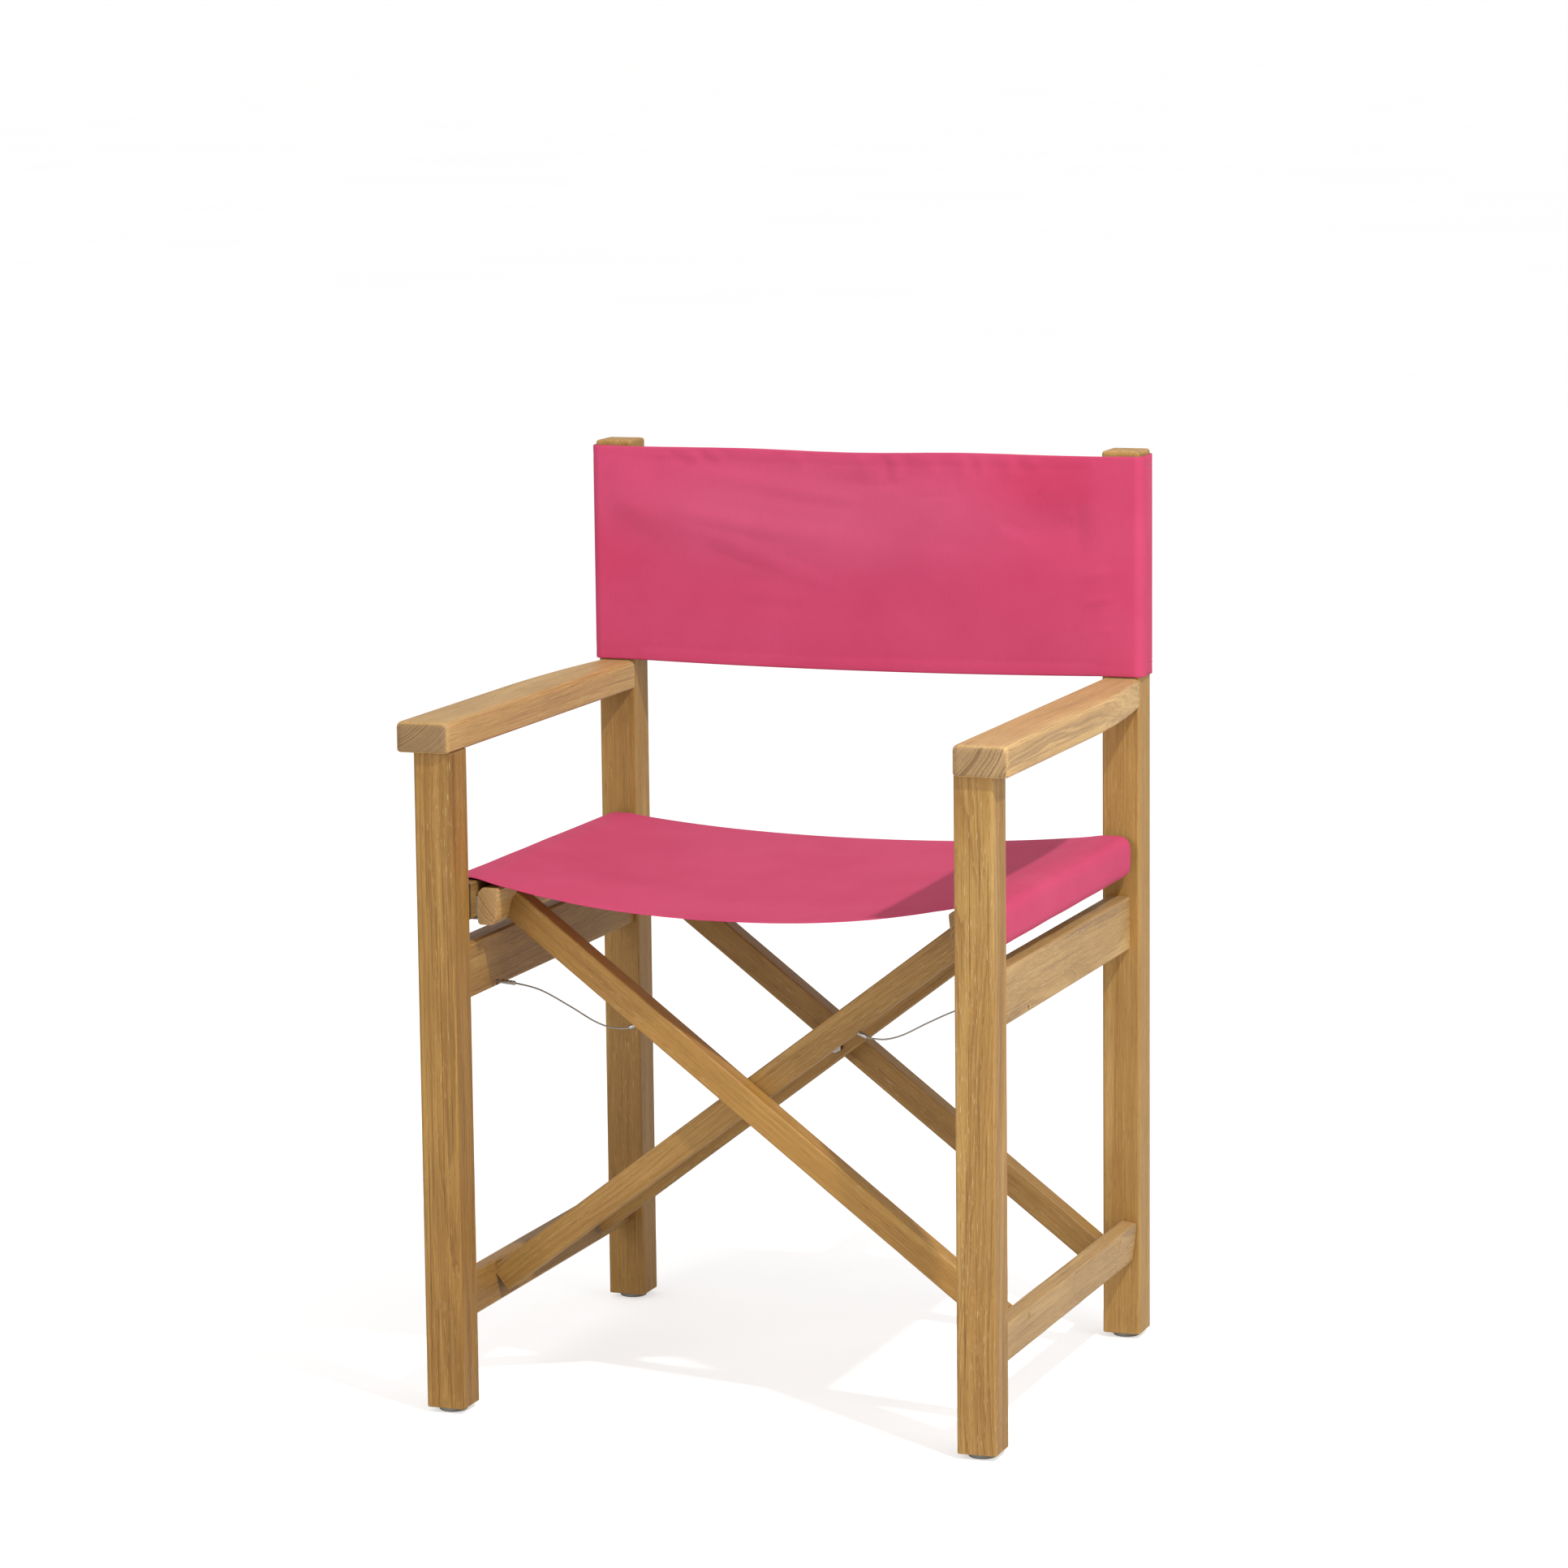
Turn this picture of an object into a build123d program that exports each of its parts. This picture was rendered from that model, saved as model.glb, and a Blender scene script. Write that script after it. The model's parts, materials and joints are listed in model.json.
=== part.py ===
"""Folding director chair: square-legged side frames, two crossing bar frames that
carry the seat sling, a sling back on the rear posts and two short cables.

Millimetres, +Z up.  The sitter faces -Y; left is -X and right is +X.  The origin
is on the floor, half way between the side frames and about half way between the
front of the armrests and the back of the rear posts.
"""
from build123d import *
import os

# ---------------------------------------------------------------- dimensions
# fits and common hardware
FIT = 0.05                 # radial clearance of fixed parts in their holes
RUN_FIT = 0.05             # radial running clearance of every pivot
SCREW_R = 2.5
PLUG_R, PLUG_DEPTH = 4.6, 6.0      # plugs in the outside faces of the legs
PLUG_RECESS = 0.2          # every plug sits this far below the surface

# legs and glides
LEG = 38.0                 # square leg section
LEG_EDGE_R = 2.6
HALF_W = 282.4             # outer face of the legs from the middle of the chair
LEG_FRONT = -248.0         # front face of the front legs
LEG_BACK = 252.0           # back face of the rear legs
POST_TOP = 880.0           # top of the rear legs, which run on as back posts
LEG_X = HALF_W - LEG / 2
LEG_IN = HALF_W - LEG
FRONT_LEG_BACK = LEG_FRONT + LEG
REAR_LEG_FRONT = LEG_BACK - LEG
FRONT_LEG_Y = LEG_FRONT + LEG / 2
REAR_LEG_Y = REAR_LEG_FRONT + LEG / 2
GLIDE_H, GLIDE_D = 5.0, 27.0       # floor to leg end grain, pad diameter
GLIDE_STEM_R, GLIDE_STEM_TOP = 4.0, 20.0

# armrests
ARM_Z0, ARM_Z1 = 630.5, 659.5
ARM_OUT = 298.0            # outer edge at the front
ARM_FRONT = -254.0         # front end, a little proud of the leg
ARM_TAPER_Y = 0.0          # the outer edge tapers in to the rear leg from here
ARM_SCREW_SEAT = 10.0      # depth of the head hole in the back of the rear leg

# upper side rails
UPPER_IN, UPPER_OUT = 249.0, 272.5
UPPER_Z0, UPPER_Z1 = 391.5, 444.5
UPPER_X = (UPPER_IN + UPPER_OUT) / 2

# dowels
ARM_DOWEL_R, RAIL_DOWEL_R = 5.0, 4.0
DOWEL_LONG, DOWEL_SHORT = 22.0, 18.0   # lengths either side of a joint
RAIL_DOWEL_Z = (UPPER_Z0 + 15.0, UPPER_Z1 - 13.0)

# lower side rails and the pins they swing on
LOWER_T, LOWER_H = 17.0, 40.0
LOWER_X, LOWER_Z = 269.0, 99.5     # middle of the section
LOWER_TILT = 7.0           # the top leans outward, degrees
LOWER_GAP = 1.0            # from each end to the leg
LOWER_Y0 = FRONT_LEG_BACK + LOWER_GAP
LOWER_Y1 = REAR_LEG_FRONT - LOWER_GAP
PIN_X, PIN_Z, PIN_R = 265.2, 104.0, 3.0
PIN_END = LEG + LOWER_GAP + 24.0   # inner end, from the outside face of the leg

# crossing bars; frame A has its lower end at +X, frame B at -X
PIVOT_Z = 298.8            # height of the centre pivots
BAR_ANGLE = 37.4           # bars above horizontal with the chair open
BAR_W, BAR_T = 27.0, 22.0
BAR_LOWER, BAR_UPPER = 324.0, 290.0    # pivot to the lower and upper bar ends
BAR_GAP = 1.0              # between an A bar and its B bar
A_FRONT_Y, B_REAR_Y = -149.0, 121.0    # front faces of the four bars
B_FRONT_Y = A_FRONT_Y + BAR_T + BAR_GAP
A_REAR_Y = B_REAR_Y + BAR_T + BAR_GAP
STUD_R = 4.0
STUD_COVER = 6.0           # wood between a stud hole and the A bar's outer face
OVERCUT = 5.0              # how far a through bore runs past the wood

# screws from the lower rail into the bars, depths from its outer face
LOWER_SCREW_UP = 11.5      # above the middle of the rail
LOWER_PLUG_R, LOWER_PLUG_DEPTH, LOWER_SCREW_SEAT = 4.5, 5.0, 8.0
UPPER_SCREW_SEAT = 8.0     # head seat in the seat rail, outward from the bar end

# seat rails, battens and brackets
RAIL_Y0, RAIL_Y1 = -195.0, 199.0
RAIL_OUT = 243.0
# (x, z) outline of the seat rail at -X
RAIL_SECTION = [
    (-RAIL_OUT, 463.0), (-241.0, 461.0), (-229.5, 461.0), (-225.0, 466.0),
    (-222.0, 494.0), (-224.0, 496.0), (-238.0, 496.0), (-RAIL_OUT, 491.0)]
BATTEN_IN, BATTEN_OUT = 244.5, 273.0
BATTEN_Z0, BATTEN_Z1 = 467.5, 502.5
BATTEN_OVERHANG = 12.0     # past each end of the seat rail
BATTEN_OUTER_R = 8.0
BRACKET_T, BRACKET_W = 1.6, 14.0
BRACKET_OUT, BRACKET_TOP = 262.0, 488.0

# fabric
CLOTH = 2.0
SEAT_Y0, SEAT_Y1 = -193.0, 206.0
SEAT_XS = (246.5, 235.0, 224.5, 200.0, 151.0, 103.0, 60.0, 0.0)
# y, then the height of the cloth's underside at each of SEAT_XS
SEAT_STATIONS = [
    (SEAT_Y0, (502.5, 499.4, 496.6, 492.6, 484.8, 477.6, 473.2, 471.5)),
    (0.0, (502.5, 499.6, 497.2, 493.2, 485.8, 479.0, 475.4, 474.0)),
    (SEAT_Y1, (502.5, 500.6, 499.4, 497.2, 493.0, 490.0, 488.6, 488.0))]
BACK_Z0, BACK_Z1 = 660.7, 875.0
SLEEVE_GAP = 0.4           # between the back cloth and the post

# cables, each in the plane of its front bar's middle
CABLE_R, FERRULE_R = 0.9, 2.1
CABLE_Z = 396.5            # centre of the hole in the upper side rail
CABLE_Y_LEFT = A_FRONT_Y + BAR_T / 2
CABLE_Y_RIGHT = B_FRONT_Y + BAR_T / 2
# (x, z) points along the left cable, from the upper rail to the bar
CABLE_POINTS = [
    (-UPPER_IN - 12, CABLE_Z), (-UPPER_IN, CABLE_Z), (-244.0, 396.3), (-230.0, 395.2),
    (-204.5, 390.0), (-175.5, 376.5), (-151.0, 363.6), (-134.5, 358.3),
    (-122.0, 357.9), (-112.0, 359.6), (-103.0, 364.0)]
# (x, z) start and end of each ferrule, and of the cable's hole in the bar
FERRULE_ENDS = [((-244.5, CABLE_Z - 0.15), (-230.5, 395.3)),
                ((-115.0, 358.9), (-104.4, 363.3))]
BAR_HOLE_ENDS = ((-116.0, 357.6), (-99.0, 365.9))


# ------------------------------------------------------------------- helpers
def block(x0, x1, y0, y1, z0, z1):
    centre = Pos((x0 + x1) / 2, (y0 + y1) / 2, (z0 + z1) / 2)
    return centre * Box(abs(x1 - x0), abs(y1 - y0), abs(z1 - z0))


def rod(start, end, radius):
    """Round bar between two points."""
    start = Vector(*start)
    run = Vector(*end) - start
    return Plane(origin=start, z_dir=run) * Cylinder(
        radius, run.length, align=(Align.CENTER, Align.CENTER, Align.MIN))


def rod_x(y, z, x0, x1, radius):
    return rod((x0, y, z), (x1, y, z), radius)


def rod_y(x, z, y0, y1, radius):
    return rod((x, y0, z), (x, y1, z), radius)


def rod_z(x, y, z0, z1, radius):
    return rod((x, y, z0), (x, y, z1), radius)


def as_built(shape):
    return shape


def mirrored(shape):
    """The same shape on the other side of the chair."""
    return mirror(shape, about=Plane.YZ)


def save(name, shapes, place=as_built):
    """Write one STEP file holding all the separate solids of the shapes."""
    found = [solid for shape in shapes for solid in place(shape).solids()]
    out = found[0] if len(found) == 1 else Compound(children=found)
    out.label = name
    export_step(out, os.path.join("parts", name + ".step"))


# ------------------------------------------- side frame, built at -X
def leg_line(front, x, z, start, end, radius):
    """Rod along Y; start and end are depths from the outside face of the leg
    (front face of the front leg, back face of the rear leg)."""
    if front:
        return rod_y(x, z, LEG_FRONT + start, LEG_FRONT + end, radius)
    return rod_y(x, z, LEG_BACK - start, LEG_BACK - end, radius)


def pin_line(front, start, end, radius):
    """Rod on the axis the lower rail swings on."""
    return leg_line(front, -PIN_X, PIN_Z, start, end, radius)


def arm_screw_line(start, end, radius):
    """Rod on the axis of the screw from the rear leg into the armrest."""
    return leg_line(False, -LEG_X, (ARM_Z0 + ARM_Z1) / 2, start, end, radius)


def dowels(extra=0.0, clearance=0.0):
    """The armrest dowel, then the upper rail dowels.  For their holes, extra
    lengthens each end and clearance widens the radius."""
    long, short = DOWEL_LONG + extra, DOWEL_SHORT + extra
    out = [rod_z(-LEG_X, FRONT_LEG_Y, ARM_Z0 - long, ARM_Z0 + short,
                 ARM_DOWEL_R + clearance)]
    radius = RAIL_DOWEL_R + clearance
    for z in RAIL_DOWEL_Z:
        out.append(rod_y(-UPPER_X, z, FRONT_LEG_BACK - short, FRONT_LEG_BACK + long, radius))
        out.append(rod_y(-UPPER_X, z, REAR_LEG_FRONT - long, REAR_LEG_FRONT + short, radius))
    return out


def leg(front):
    y0, top = (LEG_FRONT, ARM_Z0) if front else (REAR_LEG_FRONT, POST_TOP)
    body = block(-HALF_W, -LEG_IN, y0, y0 + LEG, GLIDE_H, top)
    body = fillet(body.edges().filter_by(Axis.Z), LEG_EDGE_R)
    body = fillet(body.faces().sort_by(Axis.Z)[0].edges(), 1.2)
    if not front:
        body = fillet(body.faces().sort_by(Axis.Z)[-1].edges(), 3.0)
    # socket for the stem of the glide
    body -= rod_z(-LEG_X, y0 + LEG / 2, 0, GLIDE_STEM_TOP + 2, GLIDE_STEM_R + FIT)
    for hole in dowels(extra=1.0, clearance=FIT):
        body -= hole
    body -= pin_line(front, 0, PLUG_DEPTH, PLUG_R + FIT)
    body -= pin_line(front, 0, LEG + OVERCUT, PIN_R + FIT / 2)
    if not front:
        body -= arm_screw_line(0, ARM_SCREW_SEAT, PLUG_R + FIT)
        body -= arm_screw_line(0, LEG + OVERCUT, SCREW_R + FIT)
    return body


def armrest():
    """Parallel inner edge, outer edge tapering in to the rear post."""
    inner_back, inner_front = (-LEG_IN, REAR_LEG_FRONT), (-LEG_IN, ARM_FRONT)
    outer_front, taper_start = (-ARM_OUT, ARM_FRONT), (-ARM_OUT, ARM_TAPER_Y)
    outer_back = (-HALF_W, REAR_LEG_FRONT)
    plan = Wire([
        Line(inner_back, inner_front),
        Line(inner_front, outer_front),
        Line(outer_front, taper_start),
        TangentArc(taper_start, outer_back, tangent=(0, 1)),
        Line(outer_back, inner_back)])
    body = Pos(0, 0, ARM_Z0) * extrude(make_face(plan), amount=ARM_Z1 - ARM_Z0,
                                       dir=(0, 0, 1))
    body = fillet([e for e in body.edges().filter_by(Axis.Z)
                   if e.center().Y < ARM_FRONT + 1], 7.0)
    # ease top and bottom, but leave the end against the post square
    for face_index, radius in ((-1, 6.0), (0, 3.0)):
        body = fillet([e for e in body.faces().sort_by(Axis.Z)[face_index].edges()
                       if e.center().Y < REAR_LEG_FRONT - 1], radius)
    body -= dowels(extra=1.0, clearance=FIT)[0]
    return body - arm_screw_line(LEG - 5, LEG + 32, SCREW_R + FIT)


def upper_rail(cable_y):
    rail = block(-UPPER_OUT, -UPPER_IN, FRONT_LEG_BACK, REAR_LEG_FRONT, UPPER_Z0, UPPER_Z1)
    rail = fillet(rail.edges().filter_by(Axis.Y), 3.0)
    for hole in dowels(extra=1.0, clearance=FIT)[1:]:
        rail -= hole
    # cable hole with a relieved mouth on its inner side
    through = rod_x(cable_y, CABLE_Z, -UPPER_OUT - 5, -UPPER_IN + 5, 2.4)
    mouth = rod_x(cable_y, CABLE_Z - 3, -UPPER_IN - 4, -UPPER_IN + 3, 3.4)
    return rail - (through + mouth)


def glides():
    out = []
    for y in (FRONT_LEG_Y, REAR_LEG_Y):
        pad = Pos(-LEG_X, y, GLIDE_H / 2) * Cylinder(GLIDE_D / 2, GLIDE_H)
        pad = fillet(pad.faces().sort_by(Axis.Z)[0].edges(), 1.6)
        out.append(pad + rod_z(-LEG_X, y, GLIDE_H - 0.5, GLIDE_STEM_TOP, GLIDE_STEM_R))
    return out


def pivot_pins():
    return [pin_line(front, PLUG_DEPTH, PIN_END, PIN_R) for front in (True, False)]


def leg_plugs():
    return [pin_line(True, PLUG_RECESS, PLUG_DEPTH, PLUG_R),
            pin_line(False, PLUG_RECESS, PLUG_DEPTH, PLUG_R),
            arm_screw_line(PLUG_RECESS, PLUG_DEPTH, PLUG_R)]


def armrest_screw():
    head = arm_screw_line(PLUG_DEPTH, ARM_SCREW_SEAT, PLUG_R - 0.3)
    return head + arm_screw_line(ARM_SCREW_SEAT - 1, LEG + 30, SCREW_R)


# ------------- crossing frames, built as A: lower rail at +X, seat rail at -X
BAR_FRAME = Pos(0, 0, PIVOT_Z) * Rot(0, BAR_ANGLE, 0)      # local +X: lower end
LOWER_FRAME = Pos(LOWER_X, 0, LOWER_Z) * Rot(0, LOWER_TILT, 0)
LOWER_FACE = LOWER_T / 2   # local X of the lower rail's outer face


def lower_screw_line(y, start, end, radius):
    """Screw axis across the lower rail; start and end are measured from the
    middle of its thickness, positive to the outside."""
    return LOWER_FRAME * rod_x(y, LOWER_SCREW_UP, start, end, radius)


def upper_screw_line(y, start, end, radius):
    """Screw axis along the bar; start and end are outward from its upper end."""
    return BAR_FRAME * rod_x(y, 0, -BAR_UPPER - start, -BAR_UPPER - end, radius)


def bar(y0, bore_start=-OVERCUT, bore_end=BAR_T + OVERCUT, clearance=RUN_FIT):
    """Crossing bar with its front face at y0; the centre bore's start and end
    are measured from that face, and run right through unless given."""
    body = Box(BAR_LOWER + BAR_UPPER, BAR_T, BAR_W)
    body = fillet(body.edges().filter_by(Axis.X), 2.2)
    body = fillet(body.faces().sort_by(Axis.X)[0].edges()
                  + body.faces().sort_by(Axis.X)[-1].edges(), 0.6)
    y = y0 + BAR_T / 2
    body = Pos(0, y, PIVOT_Z) * Rot(0, BAR_ANGLE, 0) * Pos(
        (BAR_LOWER - BAR_UPPER) / 2, 0, 0) * body
    # cut the lower end flush with the inner face of the lower rail
    body -= LOWER_FRAME * (Pos(-LOWER_FACE + 100, y, 0) * Box(200, 80, 200))
    body -= rod_y(0, PIVOT_Z, y0 + bore_start, y0 + bore_end, STUD_R + clearance)
    body -= lower_screw_line(y, 0, -LOWER_FACE - 32, SCREW_R + FIT)
    return body - upper_screw_line(y, 5, -42, SCREW_R + FIT)


def bar_hole(y):
    """Blind hole in the underside of the front bar where the cable is held."""
    (x0, z0), (x1, z1) = BAR_HOLE_ENDS
    return rod((x0, y, z0), (x1, y, z1), FERRULE_R + 0.5)


def lower_rail(screw_ys):
    rail = Box(LOWER_T, LOWER_Y1 - LOWER_Y0, LOWER_H)
    rail = fillet(rail.edges().filter_by(Axis.Y), 2.6)
    rail = LOWER_FRAME * (Pos(0, (LOWER_Y0 + LOWER_Y1) / 2, 0) * rail)
    for front in (True, False):
        rail -= mirrored(pin_line(front, LEG - 2, PIN_END + 1, PIN_R + RUN_FIT))
    for y in screw_ys:
        rail -= lower_screw_line(y, 20, LOWER_FACE - LOWER_SCREW_SEAT, LOWER_PLUG_R + FIT)
        rail -= lower_screw_line(y, 20, -20, SCREW_R + FIT)
    return rail


def lower_screw(y):
    seat = LOWER_FACE - LOWER_SCREW_SEAT
    head = lower_screw_line(y, LOWER_FACE - LOWER_PLUG_DEPTH, seat, 4.3)
    return head + lower_screw_line(y, seat + 0.5, -LOWER_FACE - 30, SCREW_R)


def lower_plug(y):
    return lower_screw_line(y, LOWER_FACE - PLUG_RECESS, LOWER_FACE - LOWER_PLUG_DEPTH,
                            LOWER_PLUG_R)


def seat_rail(screw_ys):
    """Seat rail notched on its lower inner corner so that the square ends of
    the bars seat on it, each notch running out in a curve."""
    outline = Polyline(*[(x, RAIL_Y0, z) for x, z in RAIL_SECTION], close=True)
    rail = extrude(make_face(outline), amount=RAIL_Y1 - RAIL_Y0, dir=(0, 1, 0))
    notch_length = 90
    for y in screw_ys:
        notch = Box(notch_length, BAR_T + 30, 60)
        notch = fillet([e for e in notch.faces().sort_by(Axis.X)[0].edges()
                        if abs(e.center().Y) > 5], 12.0)
        rail -= BAR_FRAME * (Pos(-BAR_UPPER + notch_length / 2, y, 0) * notch)
        rail -= upper_screw_line(y, UPPER_SCREW_SEAT, 60, 4.6 + FIT)
        rail -= upper_screw_line(y, -5, 20, SCREW_R + FIT)
    return rail


def upper_screw(y):
    head = upper_screw_line(y, UPPER_SCREW_SEAT + 3, UPPER_SCREW_SEAT, 4.4)
    return head + upper_screw_line(y, UPPER_SCREW_SEAT + 0.5, -40, SCREW_R)


def centre_pivot(a_outer, toward_b):
    """Stud set blind in the inner face of an A bar, a washer between the bars
    and a nut on the B side.  a_outer is the A bar's outer face and toward_b
    the Y direction (+1 or -1) from it to the B bar."""
    a_inner = a_outer + toward_b * BAR_T
    b_inner = a_inner + toward_b * BAR_GAP
    b_outer = b_inner + toward_b * BAR_T

    stud = rod_y(0, PIVOT_Z, a_outer + toward_b * (STUD_COVER + 0.2),
                 b_outer + toward_b * 7.6, STUD_R)
    free_end = stud.faces().sort_by(Axis.Y)[-1 if toward_b > 0 else 0]
    stud = chamfer(free_end.edges(), 0.8)

    y0, y1 = sorted((a_inner, b_inner - toward_b * 0.06))   # a hair clear of the B bar
    washer = rod_y(0, PIVOT_Z, y0, y1, 10.0)
    washer -= rod_y(0, PIVOT_Z, y0 - 2, y1 + 2, STUD_R + RUN_FIT)

    y0, y1 = sorted((b_outer + toward_b * 0.1, b_outer + toward_b * 6.1))
    hexagon = Plane(origin=(0, y0, PIVOT_Z), z_dir=(0, 1, 0)) * RegularPolygon(7.5, 6)
    nut = extrude(hexagon, amount=y1 - y0, dir=(0, 1, 0))
    # chamfered cylinder that rounds off the corners of the nut
    corners = rod_y(0, PIVOT_Z, y0, y1, 7.35)
    corners = chamfer(corners.edges().filter_by(GeomType.CIRCLE), 0.6)
    nut = nut & corners
    nut -= rod_y(0, PIVOT_Z, y0 - 2, y1 + 2, STUD_R + FIT / 2)
    return stud, washer, nut


# ---------------------------------------- battens and cables, built at -X
def batten():
    body = block(-BATTEN_OUT, -BATTEN_IN, RAIL_Y0 - BATTEN_OVERHANG,
                 RAIL_Y1 + BATTEN_OVERHANG, BATTEN_Z0, BATTEN_Z1)
    body = fillet([e for e in body.edges().filter_by(Axis.Y)
                   if e.center().X < -BATTEN_OUT + 1], BATTEN_OUTER_R)
    return fillet([e for e in body.edges().filter_by(Axis.Y)
                   if e.center().X > -BATTEN_IN - 1], 2.5)


def brackets():
    """Angle plates between each end of the batten and the seat rail."""
    out = []
    z0 = BATTEN_Z0 - BRACKET_T
    for y0, y1 in ((RAIL_Y0, RAIL_Y0 + BRACKET_W), (RAIL_Y1 - BRACKET_W, RAIL_Y1)):
        upright = block(-BATTEN_IN, -RAIL_OUT, y0, y1, z0, BRACKET_TOP)
        out.append(upright + block(-BRACKET_OUT, -RAIL_OUT, y0, y1, z0, BATTEN_Z0))
    return out


def strand(y, radius):
    """Round section swept along the cable's path."""
    path = Spline(*[(x, y, z) for x, z in CABLE_POINTS])
    return sweep(Plane(origin=path @ 0, z_dir=path % 0) * Circle(radius), path)


def cable(y):
    """Cable with a knob on its end inside the upper rail."""
    return strand(y, CABLE_R) + rod_x(y, CABLE_Z, -UPPER_IN - 14, -UPPER_IN - 10, 1.9)


def ferrules(y):
    """Sleeves near both ends of the cable."""
    bore = strand(y, CABLE_R + 0.04)
    return [rod((x0, y, z0), (x1, y, z1), FERRULE_R) - bore
            for (x0, z0), (x1, z1) in FERRULE_ENDS]


# ------------------------------------------------------------------- fabric
def seat_section(y, heights):
    """Cross-section of the seat cloth at y."""
    half = list(zip(SEAT_XS, heights))
    points = [(-x, z) for x, z in half] + half[-2::-1]
    under = Spline(*[(x, y, z) for x, z in points])
    over = Spline(*[(x, y, z + CLOTH) for x, z in points])
    left = Line(under @ 0, over @ 0)
    right = Line(under @ 1, over @ 1)
    return make_face(Wire([left, over, right, under]))


def seat_sling():
    """Sagging panel, wrapped around the batten on each side."""
    panel = loft([seat_section(y, heights) for y, heights in SEAT_STATIONS])
    outer = block(-BATTEN_OUT - CLOTH, -246.0, SEAT_Y0, SEAT_Y1,
                  BATTEN_Z0 - CLOTH, BATTEN_Z1 + CLOTH)
    outer = fillet([e for e in outer.edges().filter_by(Axis.Y)
                    if e.center().X < -BATTEN_OUT - 1], BATTEN_OUTER_R + CLOTH)
    inner = block(-BATTEN_OUT, -200.0, SEAT_Y0 - 5, SEAT_Y1 + 5, BATTEN_Z0, BATTEN_Z1)
    inner = fillet([e for e in inner.edges().filter_by(Axis.Y)
                    if e.center().X < -BATTEN_OUT + 1], BATTEN_OUTER_R)
    wrap = outer - inner
    # the cloth under the batten stops short of the bracket plates
    wrap -= block(-BRACKET_OUT - 2, -240.0, SEAT_Y0 - 5, SEAT_Y1 + 5,
                  BATTEN_Z0 - 5, BATTEN_Z0 + 1)
    return panel + wrap + mirrored(wrap)


def around_post(offset, z0, z1):
    """Rounded block larger than the rear post by offset on every side."""
    body = block(-HALF_W - offset, -LEG_IN + offset,
                 REAR_LEG_FRONT - offset, LEG_BACK + offset, z0, z1)
    return fillet(body.edges().filter_by(Axis.Z), LEG_EDGE_R + offset)


def back_sling():
    """A sleeve around each post, joined by a flat panel at their front."""
    sleeve = (around_post(SLEEVE_GAP + CLOTH, BACK_Z0, BACK_Z1)
              - around_post(SLEEVE_GAP, BACK_Z0 - 5, BACK_Z1 + 5))
    panel_back = REAR_LEG_FRONT - SLEEVE_GAP
    panel = block(-LEG_IN - 8, LEG_IN + 8, panel_back - CLOTH, panel_back, BACK_Z0, BACK_Z1)
    return sleeve + mirrored(sleeve) + panel


# -------------------------------------------------------------------- output
os.makedirs("parts", exist_ok=True)

for side, cable_y, place in (("left", CABLE_Y_LEFT, as_built),
                             ("right", CABLE_Y_RIGHT, mirrored)):
    side_parts = {
        "front_leg": [leg(front=True)],
        "rear_leg": [leg(front=False)],
        "armrest": [armrest()],
        "upper_rail": [upper_rail(cable_y)],
        "glides": glides(),
        "leg_plugs": leg_plugs(),
        "pivot_pins": pivot_pins(),
        "frame_dowels": dowels(),
        "armrest_screw": [armrest_screw()],
        "batten": [batten()],
        "batten_brackets": brackets(),
        "cable": [cable(cable_y)],
        "cable_ferrules": ferrules(cable_y),
    }
    for part, shapes in side_parts.items():
        save(f"{side}_{part}", shapes, place)

# the A bars are bored blind for the studs, the B bars right through
front_a = bar(A_FRONT_Y, bore_start=STUD_COVER, clearance=FIT / 2)
rear_a = bar(A_REAR_Y, bore_end=BAR_T - STUD_COVER, clearance=FIT / 2)
save("front_bar_a", [front_a - bar_hole(CABLE_Y_LEFT)])
save("rear_bar_a", [rear_a])
save("front_bar_b", [bar(B_FRONT_Y) - bar_hole(CABLE_Y_RIGHT)], mirrored)
save("rear_bar_b", [bar(B_REAR_Y)], mirrored)

for low, high, bar_ys, place in (
        ("right", "left", (A_FRONT_Y, A_REAR_Y), as_built),
        ("left", "right", (B_FRONT_Y, B_REAR_Y), mirrored)):
    screw_ys = [y + BAR_T / 2 for y in bar_ys]
    save(low + "_lower_rail", [lower_rail(screw_ys)], place)
    save(low + "_rail_screws", [lower_screw(y) for y in screw_ys], place)
    save(low + "_rail_plugs", [lower_plug(y) for y in screw_ys], place)
    save(high + "_seat_rail", [seat_rail(screw_ys)], place)
    save(high + "_seat_rail_screws", [upper_screw(y) for y in screw_ys], place)

studs, washers, nuts = zip(centre_pivot(A_FRONT_Y, 1), centre_pivot(A_REAR_Y + BAR_T, -1))
save("centre_bolts", studs)
save("centre_washers", washers)
save("centre_nuts", nuts)

save("seat_sling", [seat_sling()])
save("back_sling", [back_sling()])
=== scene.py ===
"""Looks of a folding director chair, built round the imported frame.

Metres, +Z up, floor at Z = 0. The sitter faces -Y, so the front is -Y. Left is -X and right is +X.
The seat cloth hangs between two side rails, the back cloth between two rear posts, and the legs
cross as two pairs of bars. Outlines of the cloth and the cables are given in mm.
"""

import json
import math

import bmesh
import bpy
import numpy as np
from mathutils import Matrix, Vector

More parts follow.
